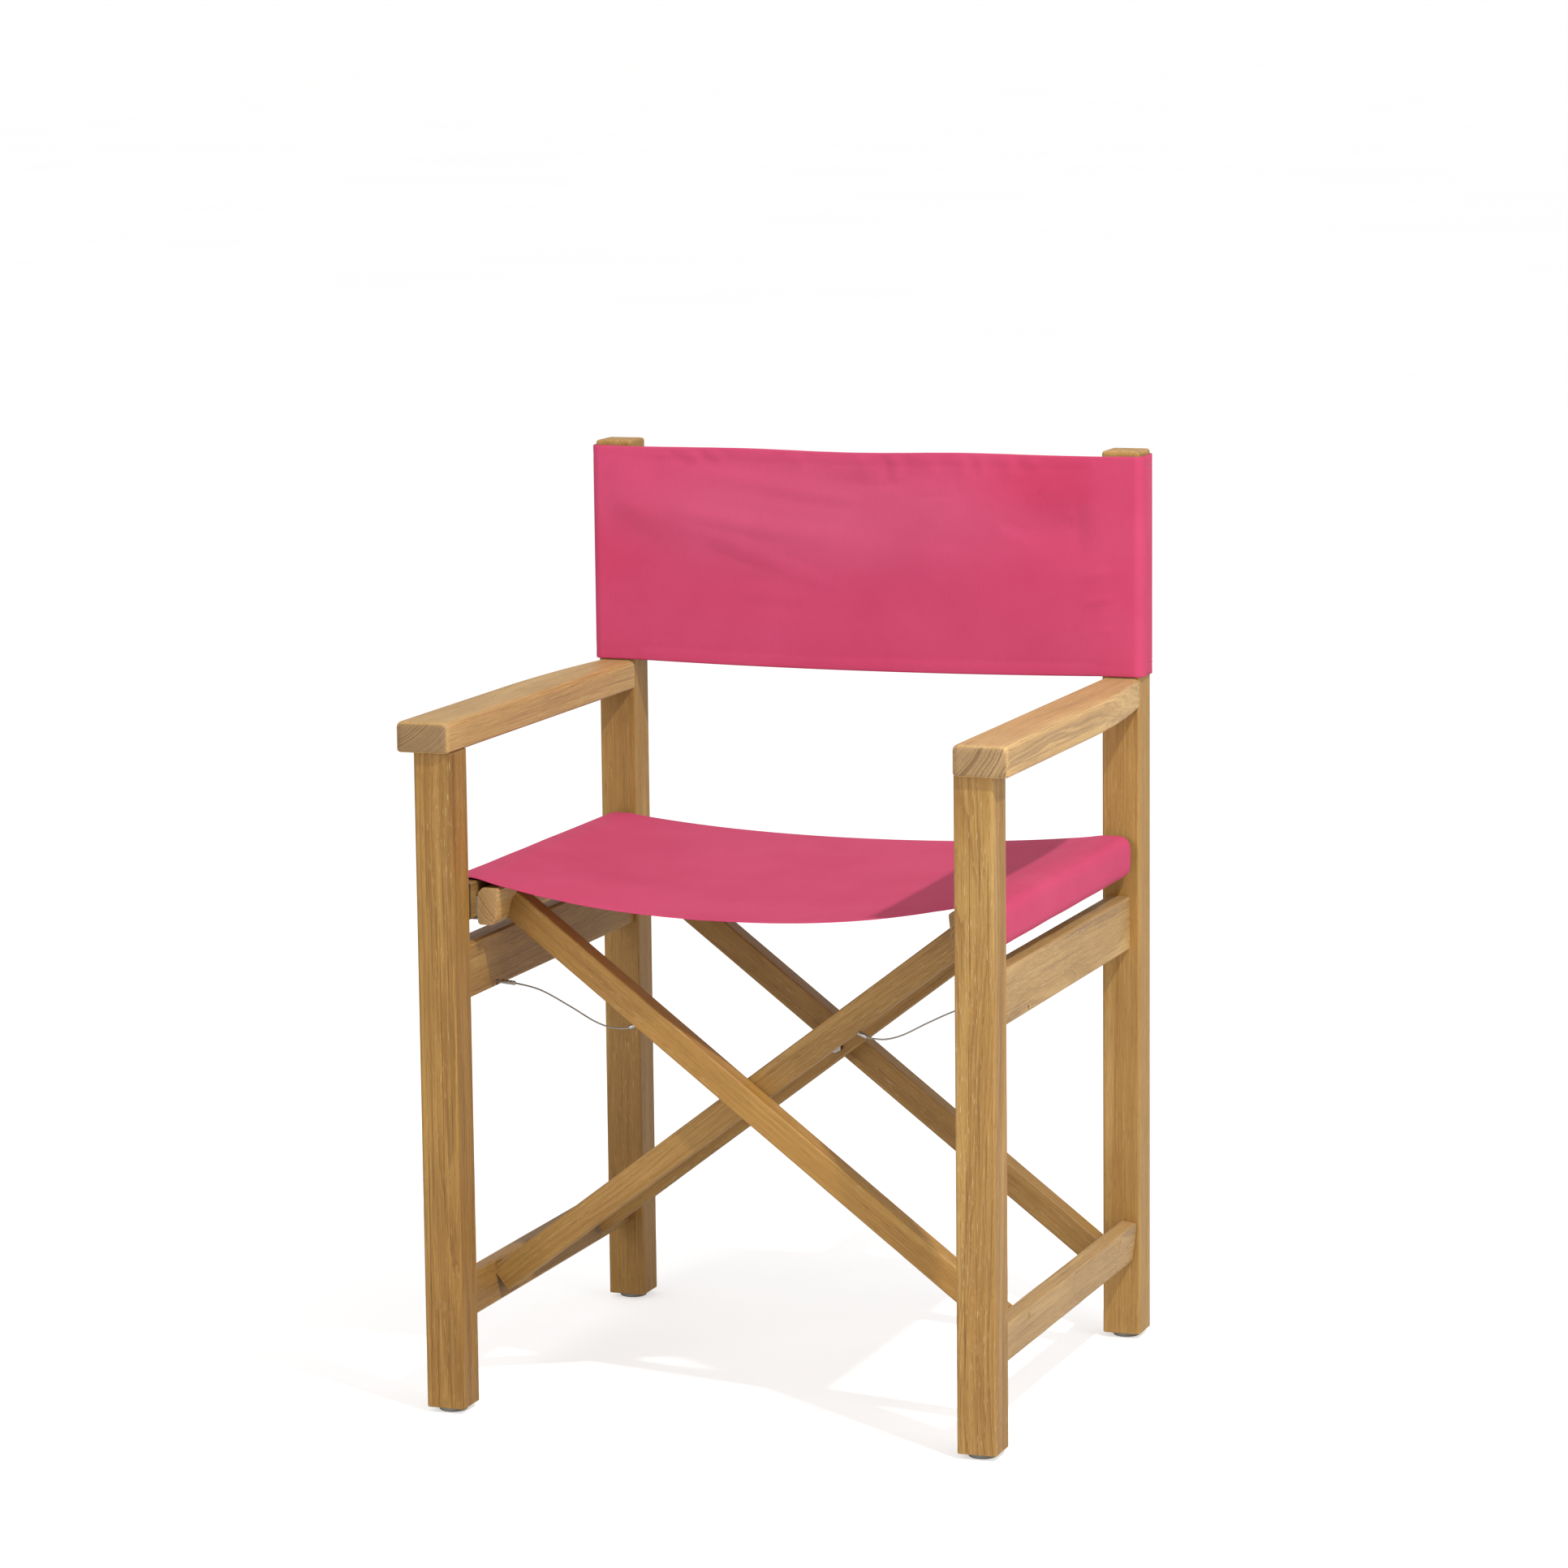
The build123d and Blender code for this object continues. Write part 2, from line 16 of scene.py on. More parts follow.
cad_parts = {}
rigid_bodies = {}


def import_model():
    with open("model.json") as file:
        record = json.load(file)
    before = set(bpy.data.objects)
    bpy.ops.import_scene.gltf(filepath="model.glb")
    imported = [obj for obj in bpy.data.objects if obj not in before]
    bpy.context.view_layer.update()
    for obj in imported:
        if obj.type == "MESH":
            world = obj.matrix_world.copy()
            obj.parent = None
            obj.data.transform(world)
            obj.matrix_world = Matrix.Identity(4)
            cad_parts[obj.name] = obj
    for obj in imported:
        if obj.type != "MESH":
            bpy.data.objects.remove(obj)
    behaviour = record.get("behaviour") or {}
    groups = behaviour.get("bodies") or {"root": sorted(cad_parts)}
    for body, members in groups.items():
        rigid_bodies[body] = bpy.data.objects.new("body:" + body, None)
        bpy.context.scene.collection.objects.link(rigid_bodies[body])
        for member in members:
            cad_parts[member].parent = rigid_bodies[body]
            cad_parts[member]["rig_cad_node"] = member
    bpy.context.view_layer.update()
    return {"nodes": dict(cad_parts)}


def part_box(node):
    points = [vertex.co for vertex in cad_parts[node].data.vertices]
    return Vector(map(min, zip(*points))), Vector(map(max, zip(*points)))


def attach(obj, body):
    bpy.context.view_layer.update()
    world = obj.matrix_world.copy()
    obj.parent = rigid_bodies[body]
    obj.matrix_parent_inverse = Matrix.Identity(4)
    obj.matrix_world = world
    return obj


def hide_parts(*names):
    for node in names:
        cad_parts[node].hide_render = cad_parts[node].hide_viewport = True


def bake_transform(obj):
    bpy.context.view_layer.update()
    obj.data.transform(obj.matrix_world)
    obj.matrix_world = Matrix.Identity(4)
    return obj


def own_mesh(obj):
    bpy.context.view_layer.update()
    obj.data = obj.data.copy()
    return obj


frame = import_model()
NODES = frame["nodes"]
MM = 0.001
X, Y, Z = (1, 0, 0), (0, 1, 0), (0, 0, 1)


# ------------------------------------------------------------------ node kit
class Nodes:
    """A new material, with short calls that add linked shader nodes to it."""

    def __init__(self, name):
        self.mat = bpy.data.materials.new(name)
        self.mat.use_nodes = True
        self.tree = self.mat.node_tree
        self.tree.nodes.clear()

    def new(self, kind, **props):
        node = self.tree.nodes.new(kind)
        for key, value in props.items():
            setattr(node, key, value)
        return node

    def put(self, socket, value):
        """Links a socket, or sets a constant; colours may leave out their alpha."""
        if isinstance(value, bpy.types.NodeSocket):
            self.tree.links.new(value, socket)
        elif isinstance(value, (tuple, list)) and socket.type == "RGBA" and len(value) == 3:
            socket.default_value = (*value, 1)
        else:
            socket.default_value = value

    def fill(self, node, *values, **named):
        """Puts values into the first inputs, and named ones with _ standing for a space."""
        for socket, value in zip(node.inputs, values):
            self.put(socket, value)
        for key, value in named.items():
            self.put(node.inputs[key.replace("_", " ")], value)
        return node

    def math(self, operation, a, b=0.0, c=0.0):
        node = self.new("ShaderNodeMath", operation=operation)
        return self.fill(node, a, b, c).outputs[0]

    def plus(self, a, b):
        return self.math("ADD", a, b)

    def minus(self, a, b):
        return self.math("SUBTRACT", a, b)

    def times(self, a, by):
        return self.math("MULTIPLY", a, by)

    def times_plus(self, a, by, plus):
        return self.math("MULTIPLY_ADD", a, by, plus)

    def hypot(self, a, b):
        return self.math("SQRT", self.plus(self.times(a, a), self.times(b, b)))

    def vmath(self, operation, a, b):
        node = self.fill(self.new("ShaderNodeVectorMath", operation=operation), a, b)
        return node.outputs["Value" if operation == "DOT_PRODUCT" else "Vector"]

    def xyz(self, x, y, z):
        return self.fill(self.new("ShaderNodeCombineXYZ"), x, y, z).outputs[0]

    def split(self, vector):
        return self.fill(self.new("ShaderNodeSeparateXYZ"), vector).outputs

    def point(self):
        return self.new("ShaderNodeTexCoord").outputs["Object"]

    def noise(self, vector, detail=2.0, rough=0.5, scale=1.0):
        node = self.new("ShaderNodeTexNoise")
        self.fill(node, Vector=vector, Scale=scale, Detail=detail, Roughness=rough)
        return node.outputs["Fac"]

    def speckle(self, point, cycles, detail, rough=0.6):
        """Noise at cycles per metre, one number or one for each axis."""
        cycles = cycles if isinstance(cycles, tuple) else (cycles,) * 3
        return self.noise(self.vmath("MULTIPLY", point, cycles), detail, rough)

    def ramp(self, factor, stops):
        """Colour ramp; stops are (position, colour)."""
        node = self.new("ShaderNodeValToRGB")
        elements = node.color_ramp.elements
        while len(elements) < len(stops):
            elements.new(0.5)
        for element, (position, colour) in zip(elements, stops):
            element.position = position
            element.color = (*colour, 1)
        return self.fill(node, factor).outputs[0]

    def remap(self, value, over, to=(0.0, 1.0), smooth=False):
        """Clamped map of the span `over` onto the span `to`."""
        node = self.new("ShaderNodeMapRange")
        node.interpolation_type = "SMOOTHSTEP" if smooth else "LINEAR"
        node.clamp = True
        return self.fill(node, value, *over, *to).outputs[0]

    def mix(self, amount, under, over, mode="MIX"):
        node = self.new("ShaderNodeMix", data_type="RGBA", blend_type=mode)
        for index, value in ((0, amount), (6, under), (7, over)):
            self.put(node.inputs[index], value)
        return node.outputs[2]

    def tint(self, colour, by):
        return self.mix(1.0, colour, by, "MULTIPLY")

    def layer(self, base, mask, over, to, colour, smooth=False):
        """Lays a colour on the base by the amount the remapped mask gives."""
        return self.mix(self.remap(mask, over, to, smooth), base, colour)

    def bump(self, height, distance, strength):
        node = self.new("ShaderNodeBump")
        self.fill(node, Height=height, Distance=distance, Strength=strength)
        return node.outputs[0]

    def surface(self, **inputs):
        shader = self.new("ShaderNodeBsdfPrincipled")
        output = self.new("ShaderNodeOutputMaterial")
        self.tree.links.new(shader.outputs[0], output.inputs[0])
        return self.fill(shader, **inputs)


def srgb(*bytes_):
    """Linear colour from sRGB values of 0 to 255."""
    parts = [value / 255.0 for value in bytes_]
    return tuple(c / 12.92 if c <= 0.04045 else ((c + 0.055) / 1.055) ** 2.4 for c in parts)


def scaled(colour, factor):
    return tuple(c * factor for c in colour)


# ---------------------------------------------------------------------- wood
RING_LIGHT, RING_MID = srgb(193, 152, 86), srgb(179, 136, 71)
RING_BROWN, RING_DARK = srgb(163, 119, 58), srgb(139, 97, 43)
# how far the rings leave a straight line, in mm, from slow drift to fine jitter
RING_DRIFT, RING_WANDER, RING_JITTER = 34.0, 4.5, 0.8
# one growth ring, from early to late wood: colours on the long faces, factors on the end grain
RING_STOPS = [(0.0, RING_LIGHT), (0.35, RING_MID), (0.78, RING_BROWN), (0.92, RING_DARK),
              (1.0, RING_LIGHT)]
END_RING_STOPS = [(0.0, (1.06, 1.05, 1.03)), (0.62, (0.96, 0.94, 0.91)),
                  (0.86, (0.56, 0.50, 0.44)), (1.0, (1.03, 1.02, 1.0))]
FIBRE_STOPS = [(0.28, (0.80, 0.77, 0.72)), (0.5, (1, 1, 1)), (0.74, (1.15, 1.14, 1.13))]
GRIME_STOPS = [(0.25, (0.91, 0.895, 0.87)), (0.6, (1.03, 1.03, 1.03))]


def teak(name, origin, grain, pith, seed, tone, warmth, spacing=3.4, wave=1.0, streak=1.0,
         dash=1.0, bleach=0.0, end_tone=0.85):
    """Solid teak: growth rings round a pith line along the grain, fibres, pores, end grain.

    origin is a point of the piece (m); pith is how far the pith lies from it across the grain
    and spacing the width of a ring (mm); wave bends the rings, streak and dash set the strength
    of the streaks and of the pale pores, and end_tone is the brightness of the end grain.
    """
    m = Nodes(name)
    grain = Vector(grain).normalized()
    side = Vector(Z) if abs(grain.z) < 0.8 else Vector(X)
    side = (side - grain * side.dot(grain)).normalized()
    texture = m.new("ShaderNodeTexCoord")
    point = m.vmath("SUBTRACT", texture.outputs["Object"], tuple(origin))
    length, across, depth = [
        m.times(m.vmath("DOT_PRODUCT", point, tuple(axis)), by=1000.0)
        for axis in (grain, side, grain.cross(side))]
    shift = seed * 37.1

    def field(cycles, offset, detail=2.0, rough=0.55, at=(across, depth)):
        """Noise stretched along the grain; cycles per mm are (along, across) the grain."""
        vector = m.xyz(m.times_plus(length, by=cycles[0], plus=shift + offset),
                       m.times(at[0], by=cycles[1]), m.times(at[1], by=cycles[1]))
        return m.noise(vector, detail, rough)

    def centred(**how):
        return m.minus(field(**how), 0.5)

    # the rings drift slowly along the piece and wander a little
    drift_across = centred(cycles=(0.0021 * wave, 0.010), offset=0.0, detail=1.0)
    drift_depth = centred(cycles=(0.0021 * wave, 0.010), offset=11.3, detail=1.0)
    wander = centred(cycles=(0.0085 * wave, 0.07), offset=5.0)
    jitter = centred(cycles=(0.05 * wave, 0.6), offset=6.0)
    wobble = m.plus(m.times(wander, by=RING_WANDER), m.times(jitter, by=RING_JITTER))
    bent = (m.plus(m.times_plus(drift_across, by=RING_DRIFT, plus=across), wobble),
            m.plus(m.times_plus(drift_depth, by=RING_DRIFT, plus=depth), wobble))
    radius = m.hypot(m.minus(bent[0], pith[0]), m.minus(bent[1], pith[1]))
    uneven = m.noise(m.xyz(m.times(radius, by=0.11), shift, 0.0), detail=2.0, rough=0.6)
    ring_count = m.times_plus(uneven, by=6.0, plus=m.math("DIVIDE", radius, spacing))
    phase = m.math("FRACT", ring_count)
    ring_number = m.times(m.math("FLOOR", ring_count), by=0.73)
    faint = m.noise(m.xyz(ring_number, shift, 3.0), detail=0.0)
    ring = m.ramp(phase, RING_STOPS)
    base = m.layer(RING_MID, faint, over=(0.3, 0.72), to=(0.12 * streak, 0.62 * streak),
                   colour=ring)

    # broad stripes of paler and browner heartwood, then narrow streaks
    stripe = field(cycles=(0.0022, 0.075), offset=9.0, detail=3.0, at=bent)
    base = m.layer(base, stripe, over=(0.52, 0.76), to=(0.0, 0.5 * streak),
                   colour=srgb(138, 96, 44), smooth=True)
    base = m.layer(base, stripe, over=(0.48, 0.26), to=(0.0, 0.55),
                   colour=srgb(204, 166, 100), smooth=True)
    thin = field(cycles=(0.0065, 0.62), offset=14.0, detail=3.0, rough=0.6)
    base = m.layer(base, thin, over=(0.54, 0.72), to=(0.0, 0.62 * streak),
                   colour=srgb(130, 89, 39), smooth=True)
    base = m.layer(base, thin, over=(0.44, 0.28), to=(0.0, 0.45),
                   colour=srgb(203, 163, 98), smooth=True)

    # fibres, bleaching, then the pores: dark slits and slits filled with pale deposits
    fibre = field(cycles=(0.045, 1.7), offset=2.0, detail=4.0, rough=0.62)
    base = m.tint(base, by=m.ramp(fibre, FIBRE_STOPS))
    early = m.remap(phase, over=(0.85, 0.1), to=(0.35, 1.0))
    slits = field(cycles=(0.085, 1.5), offset=3.0, rough=0.5)
    pores = m.times(m.remap(slits, over=(0.64, 0.70)), by=early)
    grey = m.mix(amount=0.42, under=base, over=(0.62, 0.60, 0.56))
    base = m.mix(bleach, base, m.tint(grey, by=srgb(252, 241, 210)))
    base = m.mix(m.times(pores, by=0.5), base, srgb(100, 68, 32))
    deposits = m.remap(field(cycles=(0.075, 1.15), offset=21.0, rough=0.5), over=(0.645, 0.70))
    regions = m.remap(field(cycles=(0.004, 0.03), offset=30.0, detail=1.0),
                      over=(0.38, 0.62), to=(0.1, 1.0))
    pale = m.times(deposits, by=regions)
    base = m.mix(m.times(pale, by=0.6 * dash), base, srgb(226, 193, 148))

    # end grain has its own tone, with the rings drawn as fine dark lines
    facing = m.vmath("DOT_PRODUCT", texture.outputs["Normal"], tuple(grain))
    end = m.remap(m.math("ABSOLUTE", facing), over=(0.6, 0.9), smooth=True)
    end_ring = m.ramp(phase, END_RING_STOPS)
    dots = m.speckle(point, cycles=2300, detail=2.0)
    end_colour = m.mix(amount=0.55, under=base, over=srgb(176, 143, 102))
    end_colour = m.tint(end_colour, by=end_ring)
    end_colour = m.layer(end_colour, dots, over=(0.60, 0.72), to=(0.0, 0.4),
                         colour=srgb(96, 70, 44))
    base = m.mix(end, base, m.tint(end_colour, by=(end_tone,) * 3))

    # edges paler, partly from wear and partly a painted highlight, then broad grime
    bevel = m.fill(m.new("ShaderNodeBevel", samples=4), Radius=0.0036)
    geometry = m.new("ShaderNodeNewGeometry")
    flat = m.vmath("DOT_PRODUCT", bevel.outputs[0], geometry.outputs["Normal"])
    edge_wear_and_highlight_noise = m.speckle(point, cycles=60, detail=3.0)
    edge_wear_and_highlight = m.times(m.remap(flat, over=(0.985, 0.90)),
                   by=m.remap(edge_wear_and_highlight_noise, over=(0.35, 0.65), to=(0.25, 0.8)))
    base = m.mix(m.times(edge_wear_and_highlight, by=0.38), base, srgb(215, 180, 132))
    grime = m.speckle(point, cycles=9, detail=3.0, rough=0.55)
    base = m.tint(base, by=m.ramp(grime, GRIME_STOPS))
    base = m.tint(base, by=(tone * (1 + 0.05 * warmth), tone, tone * (1 - 0.16 * warmth)))

    relief = m.plus(m.times(fibre, by=0.6), m.times(phase, by=0.12))
    height = m.minus(relief, m.times(pores, by=0.8))
    rough = m.plus(m.remap(fibre, over=(0.3, 0.7), to=(0.56, 0.44)),
                   m.times(m.plus(pores, end), by=0.16))
    m.surface(Base_Color=base, Roughness=rough, Specular_IOR_Level=0.42,
              Normal=m.bump(height, distance=0.00018, strength=0.7))
    m.mat.diffuse_color = (*RING_MID, 1)
    return m.mat


# the crossed bars lie in XZ planes at this angle below the horizontal
BAR_ANGLE = math.radians(37.4)
BAR_A = (math.cos(BAR_ANGLE), 0, -math.sin(BAR_ANGLE))
BAR_B = (-math.cos(BAR_ANGLE), 0, -math.sin(BAR_ANGLE))
# node: grain, pith offset across the grain (mm), tone, warmth, other arguments of teak()
WOOD = {
    "left_front_leg": (Z, (14, -70), 0.71, 1.45, dict(spacing=3.4, streak=1.55, dash=1.5)),
    "right_front_leg": (Z, (-24, -78), 0.88, 0.35, dict(spacing=3.0, streak=1.6, dash=1.4)),
    "left_rear_leg": (Z, (60, 34), 0.775, 0.75, dict(spacing=4.2, streak=0.7, end_tone=1.45)),
    "right_rear_leg": (Z, (-66, -44), 0.96, -0.10,
                       dict(spacing=5.2, streak=0.75, dash=0.6, end_tone=1.3)),
    "left_armrest": (Y, (46, -40), 1.12, -0.4,
                     dict(spacing=2.3, streak=1.15, dash=0.6, bleach=0.26, end_tone=0.62)),
    "right_armrest": (Y, (30, -70), 1.24, -0.4,
                      dict(spacing=4.2, streak=1.75, dash=0.5, bleach=0.42, end_tone=0.74)),
    "left_upper_rail": (Y, (40, 66), 0.70, 1.1, dict(spacing=3.6, wave=1.8, streak=1.2)),
    "right_upper_rail": (Y, (-26, 48), 1.0, -0.4,
                         dict(spacing=4.8, wave=2.4, streak=1.5, bleach=0.32)),
    "left_lower_rail": (Y, (-55, 20), 0.72, 0.25, dict(spacing=3.8)),
    "right_lower_rail": (Y, (24, 60), 1.0, -0.4, dict(spacing=4.0, streak=1.4, bleach=0.34)),
    "front_bar_a": (BAR_A, (74, 50), 0.90, 0.95, dict(spacing=2.2, streak=0.75, dash=1.5)),
    "rear_bar_a": (BAR_A, (-60, 46), 0.76, 0.05, dict(spacing=3.2, streak=0.8)),
    "front_bar_b": (BAR_B, (-46, -60), 0.82, 0.10, dict(spacing=3.4, streak=0.9)),
    "rear_bar_b": (BAR_B, (58, -40), 0.78, 0.10, dict(spacing=3.4)),
    "left_seat_rail": (Y, (36, 44), 1.12, -0.2, dict(spacing=1.9, bleach=0.2, end_tone=1.0)),
    "right_seat_rail": (Y, (-30, 60), 0.85, 0.0, dict(spacing=2.6)),
    # left batten: its darker tone and end grain are painted shadow of the seat rail
    "left_batten": (Y, (40, -30), 0.55, 0.1, dict(end_tone=0.6)),
    "right_batten": (Y, (-40, -30), 0.7, 0.1, dict(end_tone=0.7)),
    "left_frame_dowels": (Y, (3, 3), 0.85, 0.2, dict(spacing=2.0)),
    "right_frame_dowels": (Y, (3, -3), 0.85, 0.2, dict(spacing=2.0)),
    "left_leg_plugs": (Z, (30, 14), 0.78, 0.6, dict(spacing=2.6)),
    "right_leg_plugs": (Z, (-30, 18), 0.9, 0.2, dict(spacing=2.6)),
    "left_rail_plugs": (Y, (30, 14), 0.9, 0.5, dict(spacing=2.6)),
    "right_rail_plugs": (Y, (-30, 18), 0.95, 0.5, dict(spacing=2.6)),
}


def dress(node, mat):
    """Gives a frame piece its only material."""
    piece = NODES[node]
    piece.data.materials.clear()
    piece.data.materials.append(mat)


for i, (node, (grain, pith, tone, warmth, options)) in enumerate(WOOD.items()):
    box_lo, box_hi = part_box(node)
    wood = teak("teak_" + node, (box_lo + box_hi) / 2, grain, pith, seed=1.0 + i * 1.37,
                tone=tone, warmth=warmth, **options)
    dress(node, wood)


# --------------------------------------------------------- metal and plastic
def steel(name, base, rough=0.28, turned=Y, rim=0.9):
    """Bright steel with turning marks finest along `turned`, and stains; rim darkens grazing views."""
    m = Nodes(name)
    point = m.point()
    fine = m.speckle(point, cycles=tuple(120 + 5200 * c for c in turned), detail=3.0)
    blot = m.speckle(point, cycles=240, detail=4.0)
    colour = m.layer(base, blot, over=(0.52, 0.75), to=(0, 0.5), colour=scaled(base, 0.52))
    colour = m.layer(colour, fine, over=(0.55, 0.8), to=(0, 0.3), colour=(0.82, 0.81, 0.79))
    # surfaces seen edge-on are darkened, so that the bright room does not wash them out
    edge_on = m.new("ShaderNodeLayerWeight").outputs["Facing"]
    colour = m.layer(colour, edge_on, over=(0.2, 0.75), to=(0.0, rim),
                     colour=scaled(base, 0.12), smooth=True)
    m.surface(Base_Color=colour, Metallic=1.0,
              Roughness=m.plus(m.remap(blot, over=(0.3, 0.7), to=(0.0, 0.2)), rough),
              Normal=m.bump(fine, distance=0.00004, strength=0.6))
    return m.mat


def nylon():
    """Grey nylon, darker within a few mm of the floor."""
    m = Nodes("glide_nylon")
    point = m.point()
    fine = m.speckle(point, cycles=900, detail=3.0)
    blot = m.speckle(point, cycles=(60, 60, 160), detail=4.0)
    low = m.remap(m.split(point)[2], over=(0.0035, 0.0008))
    colour = m.layer(srgb(168, 168, 160), blot, over=(0.4, 0.7), to=(0, 0.6),
                     colour=srgb(128, 127, 118))
    colour = m.mix(m.times(low, by=0.55), colour, srgb(96, 90, 80))
    m.surface(Base_Color=colour, Subsurface_Weight=0.05, Specular_IOR_Level=0.45,
              Roughness=m.remap(fine, over=(0.3, 0.7), to=(0.42, 0.62)),
              Normal=m.bump(fine, distance=0.00006, strength=0.6))
    return m.mat


STEEL = steel("steel_turned", base=(0.52, 0.51, 0.49))
PLATE = steel("steel_plate", base=(0.52, 0.52, 0.52), rough=0.36, turned=Z)
WIRE = steel("steel_wire", base=(0.47, 0.44, 0.39), rough=0.38, turned=X, rim=0.5)
NYLON = nylon()
for side in ("left", "right"):
    dress(side + "_glides", NYLON)
    for part in ("_pivot_pins", "_armrest_screw", "_rail_screws", "_seat_rail_screws"):
        dress(side + part, STEEL)
    dress(side + "_batten_brackets", PLATE)
dress("centre_bolts", STEEL)
dress("centre_nuts", STEEL)
dress("centre_washers", NYLON)


# ---------------------------------------------------------- fabric materials
THREAD_PITCH = 0.55             # mm from one thread of the weave to the next
OVERALL_TINT = (1.0, 1.0, 1.0)  # factor on the whole cloth
# painted highlight and fold shade on the back: centre (x, z), radii (x, z) in metres, colour factor
PAINTED_LIGHT_PATCHES = [
    ((-0.05, 0.812), (0.24, 0.068), (1.0, 1.36, 1.18)),      # broad paler middle
    ((0.185, 0.849), (0.085, 0.034), (0.975, 0.77, 0.82)),   # deeper upper right
    ((-0.275, 0.772), (0.085, 0.05), (0.985, 0.86, 0.89)),   # deeper left edge
]


def canvas():
    """Acrylic canvas: plain weave from the cloth's own coordinates, slubs, painted light and shade."""
    m = Nodes("canvas_raspberry")
    cloth = m.split(m.new("ShaderNodeUVMap", uv_map="cloth").outputs[0])
    u = m.times(cloth[0], by=1000.0)
    v = m.times(cloth[1], by=1000.0)

    def wave(operation, place):
        return m.math(operation, m.times(place, by=math.pi / THREAD_PITCH))

    def slub(cycles, offset, detail=3.0, rough=0.6):
        """Noise in the cloth's plane, cycles per mm along u and v."""
        vector = m.xyz(m.times(u, by=cycles[0]), m.times(v, by=cycles[1]), offset)
        return m.noise(vector, detail, rough)

    sine_u, sine_v = wave("SINE", u), wave("SINE", v)
    crown_u, crown_v = m.math("ABSOLUTE", sine_u), m.math("ABSOLUTE", sine_v)
    crossing = m.times(wave("COSINE", u), by=wave("COSINE", v))
    warp = m.times(crown_u, by=m.remap(crossing, over=(-0.6, 0.6), to=(0.25, 1.0)))
    weft = m.times(crown_v, by=m.remap(crossing, over=(-0.6, 0.6), to=(1.0, 0.25)))
    weave = m.math("MAXIMUM", warp, weft)
    slub_u = slub(cycles=(0.06, 1.6), offset=0.0)
    slub_v = slub(cycles=(1.6, 0.06), offset=4.0)
    broad = slub(cycles=(0.011, 0.011), offset=8.0, detail=4.0, rough=0.5)
    base = m.layer((0.588, 0.0594, 0.147), broad, over=(0.3, 0.7), to=(0.0, 1.0),
                   colour=(0.637, 0.0756, 0.1744))
    base = m.layer(base, slub_u, over=(0.55, 0.8), to=(0.0, 0.30), colour=(0.65, 0.082, 0.180))
    base = m.layer(base, slub_v, over=(0.55, 0.8), to=(0.0, 0.28), colour=(0.44, 0.022, 0.076))
    # painted shade in the grooves between the threads
    base = m.layer(base, weave, over=(0.55, 0.15), to=(0.0, 0.5), colour=(0.36, 0.015, 0.055))
    base = m.tint(base, by=OVERALL_TINT)

    place = m.split(m.point())

    def painted_light_patch(centre, radii):
        """Soft ellipse in the XZ plane with an uneven outline."""
        dx = m.math("DIVIDE", m.minus(place[0], centre[0]), radii[0])
        dz = m.math("DIVIDE", m.minus(place[2], centre[1]), radii[1])
        distance = m.hypot(dx, dz)
        distance = m.times_plus(m.minus(broad, 0.5), by=0.6, plus=distance)
        return m.remap(distance, over=(0.1, 1.3), to=(1.0, 0.0), smooth=True)

    # lay the painted highlight and the painted fold shade onto the canvas colour
    for centre, radii, factor in PAINTED_LIGHT_PATCHES:
        base = m.mix(painted_light_patch(centre, radii), base, m.tint(base, by=factor))
    # the colour it throws on the wood beside it is much weaker than its own
    bounced = m.new("ShaderNodeLightPath").outputs["Is Diffuse Ray"]
    base = m.mix(m.times(bounced, by=0.75), base, (0.20, 0.135, 0.085))
    height = m.plus(weave, m.times(m.plus(slub_u, slub_v), by=0.35))
    m.surface(Base_Color=base, Roughness=0.66, Specular_IOR_Level=0.14,
              Normal=m.bump(height, distance=0.00013, strength=0.5),
              Sheen_Weight=0.01, Sheen_Roughness=0.4, Sheen_Tint=(1.0, 0.80, 0.86))
    m.mat.diffuse_color = (0.55, 0.035, 0.108, 1)
    return m.mat


def sewing_thread():
    m = Nodes("thread_pink")
    fuzz = m.speckle(m.point(), cycles=2600, detail=2.0)
    colour = m.layer((0.46, 0.028, 0.085), fuzz, over=(0.35, 0.7), to=(0.0, 1.0),
                     colour=(0.62, 0.075, 0.165))
    m.surface(Base_Color=colour, Roughness=0.6, Sheen_Weight=0.3,
              Normal=m.bump(fuzz, distance=0.00005, strength=0.6))
    return m.mat


CANVAS = canvas()
THREAD = sewing_thread()


# ------------------------------------------------------------ curves and meshes
def smooth(value, start, stop):
    """Smooth step from 0 at start to 1 at stop; stop may be the lower one."""
    t = np.clip((value - start) / (stop - start), 0, 1)
    return t * t * (3 - 2 * t)


def bell(value, centre, width):
    return np.exp(-((value - centre) / width) ** 2)


def unit(vectors):
    return vectors / np.linalg.norm(vectors, axis=-1, keepdims=True)


def lengths(points):
    """Distance of each point along its polyline."""
    steps = np.linalg.norm(np.diff(points, axis=0), axis=1)
    return np.concatenate([[0], np.cumsum(steps)])


def interpolate(at, run, values):
    return np.stack([np.interp(at, run, column) for column in values.T], 1)


def evenly(points, count):
    """Count points evenly spaced along a polyline."""
    points = np.asarray(points, float)
    run = lengths(points)
    return interpolate(np.linspace(0, run[-1], count), run, points)


def arc(centre_x, centre_y, radius, start, stop, count):
    """Points of an arc between two angles in degrees."""
    angles = np.radians(np.linspace(start, stop, count))
    return [(centre_x + radius * math.cos(a), centre_y + radius * math.sin(a)) for a in angles]


